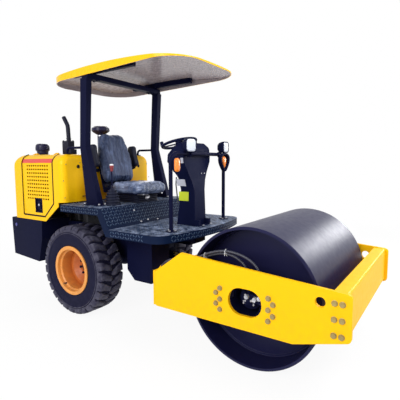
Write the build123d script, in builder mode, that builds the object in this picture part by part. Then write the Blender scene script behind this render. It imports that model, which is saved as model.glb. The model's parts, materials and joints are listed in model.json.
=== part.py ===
"""Single-drum road roller: an articulated front frame with a smooth drum, and a rear frame
with two driven wheels, an operator's platform under a canopy, and an engine under a hood.

Millimetres. +X forward, +Y to the operator's left, +Z up. The origin is on the ground,
half way between the front of the side plates and the back of the counterweight.
"""

import os
from math import cos, hypot, radians, sin, sqrt

from build123d import *

os.makedirs("parts", exist_ok=True)

# ---------------------------------------------------------------- driving dimensions
overall_length = 3618
wheelbase = 1812
front_overhang = 688  # drum axle to the front of the side plates
pivot_to_drum = 1050  # steering pivot to the drum axle

drum_radius = 500
drum_width = 1225
drum_wall = 20
drum_head_inset = 192  # end of the shell to the face of the head

tyre_radius = 425
tyre_width = 281
tyre_outer_y = 705
rim_flange_radius = 232

plate_outer_y = 695  # outer faces of the front frame's side plates
plate_thickness = 25

deck_z = 1034
floor_z = 854
platform_half_width = 660
hood_half_width = 620
hood_top_z = 1520
hood_bottom_z = 840
hood_length = 880

canopy_length = 1710
canopy_width = 1050
canopy_edge_z = 2250

seat_width = 456
steering_wheel_radius = 175

running_gap = 0.05  # radial, a pin or shaft in its bore
seat_gap = 0.3  # between pieces that rest on each other
move_gap = 8  # between a moving piece and what it passes

# ---------------------------------------------------------------- places that follow
front_x = overall_length / 2
rear_x = -overall_length / 2
drum_x = front_x - front_overhang
drum_z = drum_radius
axle_x = drum_x - wheelbase
axle_z = tyre_radius
pivot_x = drum_x - pivot_to_drum
plate_inner_y = plate_outer_y - plate_thickness
hood_rear_x = rear_x + 50
hood_front_x = hood_rear_x + hood_length


def save(builder, name):
    """Label the finished piece and write it as its own STEP file."""
    builder.part.label = name
    export_step(builder.part, f"parts/{name}.step")


def mirrored(builder):
    """The same piece for the other side of the machine."""
    with BuildPart() as other:
        mirror(builder.part, about=Plane.XZ)
    return other


# ================================================================= front frame
# Side plates: flame-cut plate, its top edge falling gently to the front, the bottom edge
# kinked up ahead of the drum, a lifting hole near the front and a slot at the drum motor.
plate_rear = drum_x - 764
lift_hole_radius = 31.5
lift_hole_x = drum_x + 507
lift_hole_z = 614
slot_length = 250
slot_height = 188
slot_z = drum_z + 2
with BuildPart() as side_plate_right:
    with BuildSketch(Plane.XZ.offset(plate_inner_y)) as plate_outline:
        with BuildLine():
            Polyline(
                (plate_rear, 313),
                (plate_rear, 595),
                (drum_x - 521, 769),
                (front_x, 687),
                (front_x, 406),
                (drum_x + 344, 309),
                close=True,
            )
        make_face()
        front_corners = plate_outline.vertices().group_by(Axis.X)[-1]
        fillet(front_corners, 30)
        with Locations((lift_hole_x, lift_hole_z)):
            Circle(lift_hole_radius, mode=Mode.SUBTRACT)
        with Locations((drum_x + 8, slot_z)):
            SlotOverall(slot_length, slot_height, mode=Mode.SUBTRACT)
    extrude(amount=plate_thickness)
save(side_plate_right, "side_plate_right")
save(mirrored(side_plate_right), "side_plate_left")

# Front beam: a channel open to the drum, with end flanges bolted between the side plates.
beam_front = front_x - 23  # the side plates stand out past the beam
beam_depth = 90
beam_top = 686
beam_bottom = 412
beam_wall = 12
beam_half = plate_inner_y - seat_gap
with BuildPart() as front_beam:
    with BuildSketch(Plane.XZ) as channel:
        with Locations((beam_front - beam_depth / 2, (beam_top + beam_bottom) / 2)):
            Rectangle(beam_depth, beam_top - beam_bottom)
        fillet(channel.vertices().group_by(Axis.X)[-1], 14)
        with Locations((beam_front - beam_depth / 2 - beam_wall, (beam_top + beam_bottom) / 2)):
            Rectangle(beam_depth, beam_top - beam_bottom - 2 * beam_wall, mode=Mode.SUBTRACT)
    extrude(amount=beam_half, both=True)
    beam_mid = (beam_top + beam_bottom) / 2
    for end in (-1, 1):
        with Locations((beam_front - beam_depth / 2, end * (beam_half - beam_wall / 2), beam_mid)):
            Box(beam_depth - beam_wall, beam_wall, beam_top - beam_bottom - beam_wall)
save(front_beam, "front_beam")

# Rear cross-member: a box beam behind the drum, a hitch neck and the steering pivot's
# bearing housing on its centre line.
cross_rear = drum_x - 814
cross_depth = 114
cross_bottom = 306
cross_top = 584
hitch_z = 435  # mid height of the pivot bearing
hitch_height = 150
hitch_radius = 66
pin_radius = 28
neck_width = 100
cross_mid_z = (cross_bottom + cross_top) / 2

# Drum hoses: from two couplings that lean forward on the cross-member's right end, over in
# one bow beside the drum, down to the motor's ports.
hose_radius = 10
hose_end_y = 632  # the hoses come down here, between the drum's end and the carrier plate
coupling_radius = 13
coupling_length = 48
outer_route = [
    (drum_x - 727, -650.5, cross_top + 30),
    (drum_x - 690, -650.5, cross_top + 78),
    (drum_x - 600, -650.5, 695),
    (drum_x - 490, -650.5, 715),
    (drum_x - 393, -650.5, 745),
    (drum_x - 290, -650.5, 795),
    (drum_x - 165, -649, 828),
    (drum_x - 20, -645, 806),
    (drum_x + 65, -640, 752),
    (drum_x + 96, -hose_end_y, 684),
    (drum_x + 96, -hose_end_y, drum_z + 86.3),
]
inner_route = [
    (drum_x - 760, -626, cross_top + 30),
    (drum_x - 726, -627, cross_top + 72),
    (drum_x - 657, -628, 688),
    (drum_x - 562, -629, 703),
    (drum_x - 465, -629, 708),
    (drum_x - 372, -628.5, 735),
    (drum_x - 290, -628, 774),
    (drum_x - 196, -627.5, 799),
    (drum_x - 104, -628, 790),
    (drum_x - 28, -629, 745),
    (drum_x + 12, -hose_end_y, 676),
    (drum_x + 12, -hose_end_y, drum_z + 86.3),
]

# Steering cylinder: its two pins, measured from the pivot with the machine straight.
barrel_pin_x = pivot_x - 440
barrel_pin_y = 200
rod_pin_x = cross_rear - 52
rod_pin_y = 190
cylinder_z = hitch_z
eye_radius = 26
eye_height = 34
ear_plate = 12
ear_gap = 1.5  # above and below a cylinder's eye
ear_levels = (
    cylinder_z + eye_height / 2 + ear_gap,
    cylinder_z - eye_height / 2 - ear_gap - ear_plate,
)
with BuildPart() as rear_crossmember:
    with Locations((cross_rear + cross_depth / 2, 0, cross_mid_z)):
        Box(cross_depth, 2 * beam_half, cross_top - cross_bottom)
        Box(cross_depth - 24, 2 * beam_half - 24, cross_top - cross_bottom - 24, mode=Mode.SUBTRACT)
    neck_length = cross_rear - pivot_x
    with Locations((pivot_x + neck_length / 2, 0, hitch_z)):
        Box(neck_length, neck_width, hitch_height - 30)
    with Locations((pivot_x, 0, hitch_z)):
        Cylinder(hitch_radius, hitch_height)
        Cylinder(pin_radius + running_gap, hitch_height, mode=Mode.SUBTRACT)
    for level in ear_levels:
        with BuildSketch(Plane.XY.offset(level)):
            with Locations((rod_pin_x, rod_pin_y)):
                Circle(eye_radius + 6)
            with Locations(((rod_pin_x + cross_rear) / 2, rod_pin_y)):
                Rectangle(cross_rear - rod_pin_x, 2 * eye_radius + 12)
        extrude(amount=ear_plate)
    for start, towards in ((outer_route[0], outer_route[1]), (inner_route[0], inner_route[1])):
        lean = Vector(*towards) - Vector(*start)
        with BuildSketch(Plane(origin=start, z_dir=lean).offset(-seat_gap)):
            Circle(coupling_radius)
        extrude(amount=-coupling_length)
save(rear_crossmember, "rear_crossmember")

# Drum carriers: a plate bolted inside each side plate, with a ring that reaches into the
# drum's recess and holds the motor on the right and the bearing on the left.
carrier_length = 500
carrier_height = 236
carrier_plate = 14
ring_outer = 125
ring_wall = 14
head_y = drum_width / 2 - drum_head_inset
carrier_face_y = plate_inner_y - seat_gap
ring_end_y = head_y + 60
motor_radius = 78
shaft_radius = 35
hose_notch_z = -10  # above this the ring is cut away beside the plate, for port block and hoses
whole_ring_end = ring_end_y + 120
with BuildPart() as drum_carrier_right:
    with BuildSketch(Plane.XZ.offset(carrier_face_y - carrier_plate)):
        with Locations((drum_x, drum_z)):
            Rectangle(carrier_length, carrier_height)
            Circle(ring_outer - ring_wall, mode=Mode.SUBTRACT)
    extrude(amount=carrier_plate)
    with BuildSketch(Plane.XZ.offset(ring_end_y)):
        with Locations((drum_x, drum_z)):
            Circle(ring_outer)
            Circle(ring_outer - ring_wall, mode=Mode.SUBTRACT)
    extrude(amount=carrier_face_y - carrier_plate - ring_end_y)
    with BuildSketch(Plane.XZ.offset(ring_end_y)):
        with Locations((drum_x, drum_z)):
            Circle(ring_outer)
            Circle(motor_radius, mode=Mode.SUBTRACT)
    extrude(amount=ring_wall)
    notch_y = (whole_ring_end + carrier_face_y - carrier_plate) / 2
    notch_width = carrier_face_y - carrier_plate - whole_ring_end
    notch_height = ring_outer - hose_notch_z + 5
    with Locations((drum_x, -notch_y, drum_z + hose_notch_z + notch_height / 2)):
        Box(2 * ring_outer, notch_width, notch_height, mode=Mode.SUBTRACT)
save(drum_carrier_right, "drum_carrier_right")
save(mirrored(drum_carrier_right), "drum_carrier_left")

# Drum motor: flanged body in the right carrier, a port block with two hose ferrules on its
# face, and the shaft into the drum head.
hose_port_x = (12, 96)
port_block_height = 58
port_block_z = drum_z + 52
ferrule_radius = 13
ferrule_length = 34
motor_outer_y = carrier_face_y - 60
hub_inner_y = head_y - 60
with BuildPart() as drum_motor:
    with BuildSketch(Plane.XZ.offset(hub_inner_y)):
        with Locations((drum_x, drum_z)):
            Circle(shaft_radius)
    extrude(amount=motor_outer_y - hub_inner_y)
    with BuildSketch(Plane.XZ.offset(head_y + 26)):
        with Locations((drum_x, drum_z)):
            Circle(motor_radius - seat_gap)
    extrude(amount=motor_outer_y - head_y - 50)
    with BuildSketch(Plane.XZ.offset(ring_end_y + ring_wall + seat_gap)):
        with Locations((drum_x, drum_z)):
            Circle(motor_radius + 22)
    extrude(amount=16)
    with BuildSketch(Plane.XZ.offset(motor_outer_y - 30)):
        with Locations((drum_x, drum_z)):
            RectangleRounded(104, 92, 14)
    extrude(amount=30)
    block_depth = 2 * (hose_end_y - motor_outer_y)
    block_mid_x = drum_x + (hose_port_x[0] + hose_port_x[1]) / 2
    with Locations((block_mid_x, -hose_end_y, port_block_z - port_block_height / 2)):
        Box(hose_port_x[1] - hose_port_x[0] + 44, block_depth, port_block_height)
    for port_x in hose_port_x:
        with Locations((drum_x + port_x, -hose_end_y, port_block_z + ferrule_length / 2)):
            Cylinder(ferrule_radius, ferrule_length)
save(drum_motor, "drum_motor")


def widest_arcs(route):
    """At each corner of a route, the radius of the arc that takes 0.45 of the shorter run."""
    points = [Vector(*place) for place in route]
    runs = [after - before for before, after in zip(points, points[1:])]
    turns = [radians(run.get_angle(nearby)) / 2 for run, nearby in zip(runs, runs[1:])]
    shorter = [min(run.length, nearby.length) for run, nearby in zip(runs, runs[1:])]
    return [0.45 * length * cos(turn) / sin(turn) for length, turn in zip(shorter, turns)]


for hose_name, route in (("drum_hose_outer", outer_route), ("drum_hose_inner", inner_route)):
    arcs = widest_arcs(route)
    print(hose_name, "radii", [round(arc) for arc in arcs])
    with BuildPart() as drum_hose:
        with BuildLine() as hose_path:
            FilletPolyline(*route, radius=arcs)
        with BuildSketch(Plane(origin=hose_path.line @ 0, z_dir=hose_path.line % 0)):
            Circle(hose_radius)
        sweep(path=hose_path.line)
    print("length", round(hose_path.wire().length, 1), "volume", round(drum_hose.part.volume))
    save(drum_hose, hose_name)

with BuildPart() as drum_bearing:
    with BuildSketch(Plane.XZ.offset(-motor_outer_y + 60)):
        with Locations((drum_x, drum_z)):
            Circle(shaft_radius)
    extrude(amount=motor_outer_y - 60 - hub_inner_y)
    with BuildSketch(Plane.XZ.offset(-motor_outer_y + 60)):
        with Locations((drum_x, drum_z)):
            Circle(motor_radius - seat_gap)
    extrude(amount=motor_outer_y - 60 - head_y - 26)
    with BuildSketch(Plane.XZ.offset(-ring_end_y - ring_wall - seat_gap - 16)):
        with Locations((drum_x, drum_z)):
            Circle(motor_radius + 22)
    extrude(amount=16)
save(drum_bearing, "drum_bearing")

# ================================================================= drum
hub_radius = 82
head_thickness = 20
with BuildPart() as drum:
    with BuildSketch(Plane.XZ.offset(-drum_width / 2)):
        with Locations((drum_x, drum_z)):
            Circle(drum_radius)
            Circle(drum_radius - drum_wall, mode=Mode.SUBTRACT)
    extrude(amount=drum_width)
    chamfer(drum.edges().filter_by(GeomType.CIRCLE).group_by(SortBy.RADIUS)[-1], 4)
    for near_face in (head_y, -head_y + head_thickness):
        with BuildSketch(Plane.XZ.offset(near_face - head_thickness)):
            with Locations((drum_x, drum_z)):
                Circle(drum_radius - drum_wall)
        extrude(amount=head_thickness)
    for near_face in (head_y + 20, -head_y + 60):
        with BuildSketch(Plane.XZ.offset(near_face - 80)):
            with Locations((drum_x, drum_z)):
                Circle(hub_radius)
        extrude(amount=80)
    with BuildSketch(Plane.XZ.offset(-drum_width / 2)):
        with Locations((drum_x, drum_z)):
            Circle(shaft_radius + running_gap)
    extrude(amount=drum_width, mode=Mode.SUBTRACT)
save(drum, "drum")

# ================================================================= rear frame
# Two plate rails over the axle, cross-members, the beam that carries the canopy posts,
# and the clevis of the steering pivot.
rail_y = 280
rail_thickness = 20
rail_bottom = 525
rail_top = 800
rail_rear = rear_x + 140
rail_front = pivot_x - 320
bulkhead = 25
bulkhead_foot = 230  # width below the rails, between the steering cylinder and its mirror
clevis_plate = 25
clevis_gap = 1
clevis_radius = 75
clevis_root = 115  # half width where a clevis plate meets the bulkhead
post_beam_x = axle_x + 145
post_beam_width = 120
post_beam_height = 60
deck_plate = 6
cross_plate = 24
cross_height = 120
engine_x = hood_rear_x + 420
engine_length = 560
cylinder_web_x = barrel_pin_x - 64
cross_places = (rail_rear + cross_plate / 2, engine_x - 200, engine_x + 200, cylinder_web_x)
cylinder_pin = 14
clevis_levels = (
    hitch_z + hitch_height / 2 + clevis_gap,
    hitch_z - hitch_height / 2 - clevis_gap - clevis_plate,
)
with BuildPart() as rear_frame:
    for side in (-1, 1):
        with Locations(((rail_rear + rail_front) / 2, side * rail_y, (rail_bottom + rail_top) / 2)):
            Box(rail_front - rail_rear, rail_thickness, rail_top - rail_bottom)
    with Locations((rail_front, 0, (rail_top + rail_bottom) / 2)):
        Box(bulkhead, 2 * rail_y + rail_thickness, rail_top - rail_bottom)
    with Locations((rail_front, 0, (rail_bottom + clevis_levels[1]) / 2)):
        Box(bulkhead, bulkhead_foot, rail_bottom - clevis_levels[1])
    for cross_x in cross_places:
        with Locations((cross_x, 0, rail_bottom + cross_height / 2)):
            Box(cross_plate, 2 * rail_y, cross_height)
    for level in clevis_levels:
        with BuildSketch(Plane.XY.offset(level)):
            with BuildLine():
                Polyline(
                    (rail_front, -clevis_root),
                    (pivot_x, -clevis_radius),
                    (pivot_x, clevis_radius),
                    (rail_front, clevis_root),
                    close=True,
                )
            make_face()
            with Locations((pivot_x, 0)):
                Circle(clevis_radius)
        extrude(amount=clevis_plate)
    with Locations((post_beam_x, 0, deck_z - deck_plate - seat_gap - post_beam_height / 2)):
        Box(post_beam_width, 2 * (platform_half_width - 20), post_beam_height)
    beam_under = deck_z - deck_plate - seat_gap - post_beam_height
    for side in (-1, 1):
        with Locations((post_beam_x, side * rail_y, (rail_top + beam_under) / 2)):
            Box(post_beam_width, rail_thickness, beam_under - rail_top + 2)
    with Locations((pivot_x, 0, hitch_z)):
        Cylinder(pin_radius, hitch_height + 2 * clevis_plate + 30)
    web_bottom = ear_levels[1] - 10
    with Locations((cylinder_web_x, barrel_pin_y, (rail_bottom + web_bottom) / 2)):
        Box(cross_plate, 90, rail_bottom - web_bottom)
    for level in ear_levels:
        with BuildSketch(Plane.XY.offset(level)):
            with Locations((barrel_pin_x, barrel_pin_y)):
                Circle(eye_radius + 6)
            with Locations(((barrel_pin_x + cylinder_web_x) / 2, barrel_pin_y)):
                Rectangle(barrel_pin_x - cylinder_web_x, 2 * eye_radius + 12)
        extrude(amount=ear_plate)
    with Locations((barrel_pin_x, barrel_pin_y, cylinder_z)):
        Cylinder(cylinder_pin, eye_height + 2 * ear_gap + 2 * ear_plate + 8)
save(rear_frame, "rear_frame")

# Rear axle: differential housing, tubes and the spindles the wheels turn on.
axle_tube = 55
spindle_radius = 40
hub_face_y = 440
spindle_end_y = 505
with BuildPart() as rear_axle:
    with BuildSketch(Plane.XZ.offset(-hub_face_y + 30)):
        with Locations((axle_x, axle_z)):
            Circle(axle_tube)
    extrude(amount=2 * (hub_face_y - 30))
    with Locations((axle_x, 0, axle_z)):
        Sphere(95)
    with BuildSketch(Plane.XZ.offset(-spindle_end_y)):
        with Locations((axle_x, axle_z)):
            Circle(spindle_radius)
    extrude(amount=2 * spindle_end_y)
    pad_top = rail_bottom - seat_gap
    for side in (-1, 1):
        with Locations((axle_x, side * rail_y, (axle_z + pad_top) / 2)):
            Box(130, 70, pad_top - axle_z)
save(rear_axle, "rear_axle")

# Engine: one plain block on two of the frame's cross-members.
engine_width = 400
engine_height = 560
engine_bottom = rail_bottom + cross_height + seat_gap
with BuildPart() as engine_block:
    with Locations((engine_x, 0, engine_bottom + engine_height / 2)):
        Box(engine_length, engine_width, engine_height)
save(engine_block, "engine_block")

# Counterweight: a casting across the tail with a wing each side of the frame.
cw_top = hood_bottom_z - seat_gap
cw_front = hood_rear_x + 510
cw_block = 300
frame_room = rail_y + rail_thickness / 2 + seat_gap  # half width of the slot for the rails
tow_z = 600
tow_pocket_depth = 110  # the pocket is open to the rear and below
tow_pocket_width = 190
tow_pocket_top = 675
with BuildPart() as counterweight:
    with BuildSketch(Plane.XZ.offset(-hood_half_width)) as cw_side:
        with BuildLine():
            Polyline(
                (rear_x, cw_top),
                (rear_x, cw_top - 80),
                (rear_x + 22, 430),
                (cw_front - 76, 400),
                (cw_front - 12, 640),
                (cw_front, cw_top),
                close=True,
            )
        make_face()
    extrude(amount=2 * hood_half_width)
    fillet(counterweight.edges().filter_by(Axis.Y).group_by(Axis.X)[0], 14)
    with Locations((rear_x + cw_block + 300, 0, 600)):
        Box(600, 2 * frame_room, 700, mode=Mode.SUBTRACT)
    with Locations((rail_rear - seat_gap + 300, 0, (rail_bottom - seat_gap + cw_top + 10) / 2)):
        Box(600, 2 * frame_room, cw_top + 10 - rail_bottom + seat_gap, mode=Mode.SUBTRACT)
    with Locations((rear_x + tow_pocket_depth, 0, tow_pocket_top)):
        Box(
            2 * tow_pocket_depth, tow_pocket_width, tow_pocket_top - 380,
            align=(Align.MAX, Align.CENTER, Align.MAX), mode=Mode.SUBTRACT,
        )
save(counterweight, "counterweight")

# Tow tongue: a bored plate that stands level in the counterweight's pocket.
tow_plate = 25
tow_bore = 20
tow_round = 50
tow_root_x = rear_x + tow_pocket_depth - seat_gap
with BuildPart() as tow_tongue:
    with BuildSketch(Plane.XY.offset(tow_z - tow_plate / 2)):
        with Locations((rear_x + tow_round + 4, 0)):
            Circle(tow_round)
        with Locations(((rear_x + tow_round + 4 + tow_root_x) / 2, 0)):
            Rectangle(tow_root_x - rear_x - tow_round - 4, 2 * tow_round)
        with Locations((rear_x + tow_round + 4, 0)):
            Circle(tow_bore, mode=Mode.SUBTRACT)
    extrude(amount=tow_plate)
save(tow_tongue, "tow_tongue")

# ================================================================= hood
# A moulded shell over the engine, open below, cut away over the tyres, with an opening for
# a lifting door in each side.
hood_wall = 6
shoulder = 100
tail_reach = 160
tail_drop = 360
door_rear_x = hood_rear_x + 200
door_front_x = hood_front_x - 155
door_bottom_z = hood_bottom_z + 50
door_hinge_y = 505
door_gap = move_gap


def hood_form(inset):
    """The hood's closed outer form, or the form of its inside when inset by the wall."""
    with BuildPart() as form:
        with BuildSketch(Plane.YZ.offset(hood_rear_x + inset)) as section:
            with Locations((0, (hood_top_z + hood_bottom_z) / 2)):
                Rectangle(2 * (hood_half_width - inset), hood_top_z - hood_bottom_z - 2 * inset)
            fillet(section.vertices().group_by(Axis.Y)[-1], shoulder - inset)
        extrude(amount=hood_length - 2 * inset)
        upright = form.edges().filter_by(Axis.Z)
        fillet(upright, 60 - inset)
        rear = hood_rear_x + inset
        front = hood_front_x - inset
        top = hood_top_z - inset
        with BuildSketch(Plane.XZ.offset(-hood_half_width)):
            with BuildLine():
                EllipticalCenterArc(
                    (hood_rear_x + tail_reach, hood_top_z - tail_drop),
                    tail_reach - inset,
                    tail_drop - inset,
                    start_angle=90,
                    arc_size=90,
                )
                Polyline(
                    (hood_rear_x + tail_reach, top),
                    (front, top),
                    (front, hood_bottom_z),
                    (rear, hood_bottom_z),
                    (rear, hood_top_z - tail_drop),
                )
            make_face()
        extrude(amount=2 * hood_half_width, mode=Mode.INTERSECT)
    return form


hood_outer = hood_form(0)
hood_inner = hood_form(hood_wall)

# The door's air grille and the recess of its paddle latch, and the louvres of the tail.
grille_columns = 10
grille_rows = 10
grille_pitch_x = 38.5
grille_pitch_z = 37.5
grille_slot_x = 26
grille_slot_z = 16
grille_x = door_rear_x + 264
grille_z = 1236
latch_x = door_rear_x + 272
latch_z = 997
latch_width = 108
latch_height = 132
latch_depth = 26
latch_wall = 4
paddle_width = 46
paddle_height = 84
louvre_count = 7
louvre_pitch = 44
louvre_slot = 18
louvre_width = 620


def door_solid(gap):
    """The door's outline cut through the side and shoulder, grown outward by a gap."""
    with BuildPart() as cutter:
        with BuildSketch(Plane.XZ.offset(door_hinge_y - gap)):
            with BuildLine():
                Polyline(
                    (door_rear_x - gap, door_bottom_z - gap),
                    (door_front_x - 150 + gap / 2, door_bottom_z - gap),
                    (door_front_x + gap, door_bottom_z + 140 - gap / 2),
                    (door_front_x + gap, hood_top_z + 50),
                    (door_rear_x - gap, hood_top_z + 50),
                    close=True,
                )
            make_face()
        extrude(amount=300)
    return cutter


hinge_bar = 4
hinge_ring = 8
hinge_width = 22
hinge_strap = 26
hinge_y = door_hinge_y - door_gap / 2
hinge_z = hood_top_z + hinge_ring
hinge_places = (door_rear_x + 80, door_front_x - 80)


def hinge_half(side, inward):
    """Two rings on the hinge line, each on a strap that lies on the hood or on the door."""
    reach = side * (hinge_strap if not inward else -hinge_strap)
    shift = hinge_width / 2 + 0.5
    with BuildPart() as half:
        for place in hinge_places:
            centre = place + (shift if inward else -shift)
            with Locations((centre, side * hinge_y, hinge_z)):
                Cylinder(hinge_ring, hinge_width, rotation=(0, 90, 0))
            with Locations((centre, side * hinge_y + reach / 2, hood_top_z + 3)):
                Box(hinge_width, hinge_strap, 8)
    return half


door_form = door_solid(0)
door_opening = door_solid(door_gap)
far_opening = mirrored(door_opening)
door_hinges = hinge_half(-1, False)
near_hinges = hinge_half(-1, True)
far_hinges = hinge_half(1, True)

with BuildPart() as hood:
    add(hood_outer.part)
    add(hood_inner.part, mode=Mode.SUBTRACT)
    open_length = hood_length - 2 * hood_wall
    open_width = 2 * (hood_half_width - hood_wall)
    with Locations(((hood_rear_x + hood_front_x) / 2, 0, hood_bottom_z)):
        Box(open_length, open_width, 4 * hood_wall, mode=Mode.SUBTRACT)
    with BuildSketch(Plane.XZ.offset(-hood_half_width - 10)):
        with BuildLine():
            Polyline(
                (hood_front_x - 300, hood_bottom_z - 10),
                (hood_front_x - 300, hood_bottom_z),
                (hood_front_x - 80, deck_z - 30),
                (hood_front_x - 80, deck_z + 11),
                (hood_front_x + 10, deck_z + 11),
                (hood_front_x + 10, hood_bottom_z - 10),
                close=True,
            )
        make_face()
    extrude(amount=2 * hood_half_width + 20, mode=Mode.SUBTRACT)
    add(door_opening.part, mode=Mode.SUBTRACT)
    add(far_opening.part, mode=Mode.SUBTRACT)
    with BuildSketch(Plane.YZ.offset(hood_rear_x - hood_wall)):
        with Locations((0, (hood_top_z + hood_bottom_z) / 2)):
            with GridLocations(1, louvre_pitch, 1, louvre_count):
                Rectangle(louvre_width, louvre_slot)
    extrude(amount=9 * hood_wall, mode=Mode.SUBTRACT)
    for side, hinges in ((-1, near_hinges), (1, far_hinges)):
        add(hinges.part)
        for place in hinge_places:
            with Locations((place, side * hinge_y, hinge_z)):
                Cylinder(hinge_bar, 2 * hinge_width + 6, rotation=(0, 90, 0))
save(hood, "hood")

with BuildPart() as hood_door_right:
    add(hood_outer.part)
    add(hood_inner.part, mode=Mode.SUBTRACT)
    add(door_form.part, mode=Mode.INTERSECT)
    add(door_hinges.part)
    for place in hinge_places:
        with Locations((place, -hinge_y, hinge_z)):
            Cylinder(hinge_bar + running_gap, 3 * hinge_width, rotation=(0, 90, 0), mode=Mode.SUBTRACT)
    latch_y = -hood_half_width + latch_depth / 2
    with Locations((latch_x, latch_y, latch_z)):
        Box(latch_width + 2 * latch_wall, latch_depth, latch_height + 2 * latch_wall)
    with Locations((latch_x, latch_y - latch_wall, latch_z)):
        Box(latch_width, latch_depth, latch_height, mode=Mode.SUBTRACT)
    with Locations((latch_x, -hood_half_width + latch_depth / 2, latch_z)):
        Box(paddle_width, latch_depth - 8, paddle_height)
    with BuildSketch(Plane.XZ.offset(hood_half_width - 4 * hood_wall)):
        with Locations((grille_x, grille_z)):
            with GridLocations(grille_pitch_x, grille_pitch_z, grille_columns, grille_rows):
                Rectangle(grille_slot_x, grille_slot_z)
    extrude(amount=5 * hood_wall, mode=Mode.SUBTRACT)
save(hood_door_right, "hood_door_right")
save(mirrored(hood_door_right), "hood_door_left")

# ================================================================= platform
# Folded chequer plate: rear deck over the wheels, sloping riser and footwell floor, with a
# skirt turned down round the sides and the bowed front.
deck_rear_x = hood_front_x + 4
riser_top_x = drum_x - 1430
riser_foot_x = drum_x - 1330
floor_front_x = drum_x - 655
front_bow_radius = 1930
corner_radius = 120
skirt = 66
with BuildSketch(Plane.XY.offset(floor_z - 200)) as platform_plan:
    with BuildLine():
        bow_sag = front_bow_radius - sqrt(front_bow_radius**2 - platform_half_width**2)
        ThreePointArc(
            (floor_front_x - bow_sag, -platform_half_width),
            (floor_front_x, 0),
            (floor_front_x - bow_sag, platform_half_width),
        )
        Polyline(
            (floor_front_x - bow_sag, platform_half_width),
            (deck_rear_x, platform_half_width),
            (deck_rear_x, -platform_half_width),
            (floor_front_x - bow_sag, -platform_half_width),
        )
    make_face()
    fillet(platform_plan.vertices().group_by(Axis.X)[-1], corner_radius)


def platform_band(depth):
    """Side view of the folded plate with its underside a given depth below the top."""
    slope = (deck_z - floor_z) / (riser_foot_x - riser_top_x)
    run = depth * (sqrt(1 + slope**2) - 1) / slope
    return [
        (deck_rear_x, deck_z),
        (riser_top_x, deck_z),
        (riser_foot_x, floor_z),
        (floor_front_x, floor_z),
        (floor_front_x, floor_z - depth),
        (riser_foot_x - run, floor_z - depth),
        (riser_top_x - run, deck_z - depth),
        (deck_rear_x, deck_z - depth),
    ]


with BuildPart() as platform_skirt:
    with BuildSketch(Plane.XZ.offset(-platform_half_width)):
        with BuildLine():
            Polyline(*platform_band(skirt), close=True)
        make_face()
    extrude(amount=2 * platform_half_width)
    with BuildSketch(Plane.XY.offset(floor_z - 200)):
        add(platform_plan.sketch)
        offset(platform_plan.sketch, -deck_plate, mode=Mode.SUBTRACT)
    extrude(amount=500, mode=Mode.INTERSECT)
with BuildPart() as platform:
    with BuildSketch(Plane.XZ.offset(-platform_half_width)):
        with BuildLine():
            Polyline(*platform_band(deck_plate), close=True)
        make_face()
    extrude(amount=2 * platform_half_width)
    add(platform_plan.sketch)
    extrude(amount=500, mode=Mode.INTERSECT)
    add(platform_skirt.part)
save(platform, "platform")

# ================================================================= tanks under the platform
tank_rear_x = rail_front + bulkhead / 2 + seat_gap
tank_length = 304
tank_inner_y = 170
tank_outer_y = 415
tank_bottom = 352
tank_top = floor_z - deck_plate - seat_gap
with BuildPart() as fuel_tank:
    with BuildSketch(Plane.XZ.offset(tank_inner_y)) as tank_side:
        with BuildLine():
            Polyline(
                (tank_rear_x, tank_top),
                (tank_rear_x, tank_bottom + 90),
                (tank_rear_x + 90, tank_bottom),
                (tank_rear_x + tank_length, tank_bottom),
                (tank_rear_x + tank_length, tank_top),
                close=True,
            )
        make_face()
    extrude(amount=tank_outer_y - tank_inner_y)
    fillet(fuel_tank.edges().filter_by(Axis.Y), 15)
save(fuel_tank, "fuel_tank")

battery_bottom = 600
with BuildPart() as battery_box:
    with Locations((
        tank_rear_x + tank_length / 2,
        (tank_inner_y + tank_outer_y) / 2,
        (battery_bottom + tank_top) / 2,
    )):
        Box(tank_length, tank_outer_y - tank_inner_y, tank_top - battery_bottom)
    fillet(battery_box.edges().filter_by(Axis.Z), 12)
save(battery_box, "battery_box")

# Steering valve under the console, hung from the floor.
console_front_x = drum_x - 812
console_rear_x = drum_x - 1020
valve_half_width = 85
with BuildPart() as steering_valve:
    with Locations(((console_front_x + console_rear_x) / 2, 0, tank_top - 75)):
        Box(console_front_x - console_rear_x, 2 * valve_half_width, 150)
    fillet(steering_valve.edges().filter_by(Axis.Z), 10)
save(steering_valve, "steering_valve")

# ================================================================= roll-over posts and canopy
# Each post is a tapered box section that widens upward to the canopy and downward to its
# foot on the deck, with a knee between.
post_outer_y = 530
post_width = 60
knee_z = deck_z + 550
post_knee_x = drum_x - 1835
post_top_z = canopy_edge_z - 35
with BuildPart() as post_right:
    with BuildSketch(Plane.XZ.offset(post_outer_y - post_width)) as post_side:
        with BuildLine():
            Polyline(
                (drum_x - 1767, deck_z + seat_gap),
                (post_knee_x, knee_z),
                (drum_x - 1800, post_top_z),
                (drum_x - 1712, post_top_z),
                (drum_x - 1757, knee_z),
                (drum_x - 1595, deck_z + seat_gap),
                close=True,
            )
        make_face()
    extrude(amount=post_width)
save(post_right, "rops_post_right")
save(mirrored(post_right), "rops_post_left")

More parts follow.
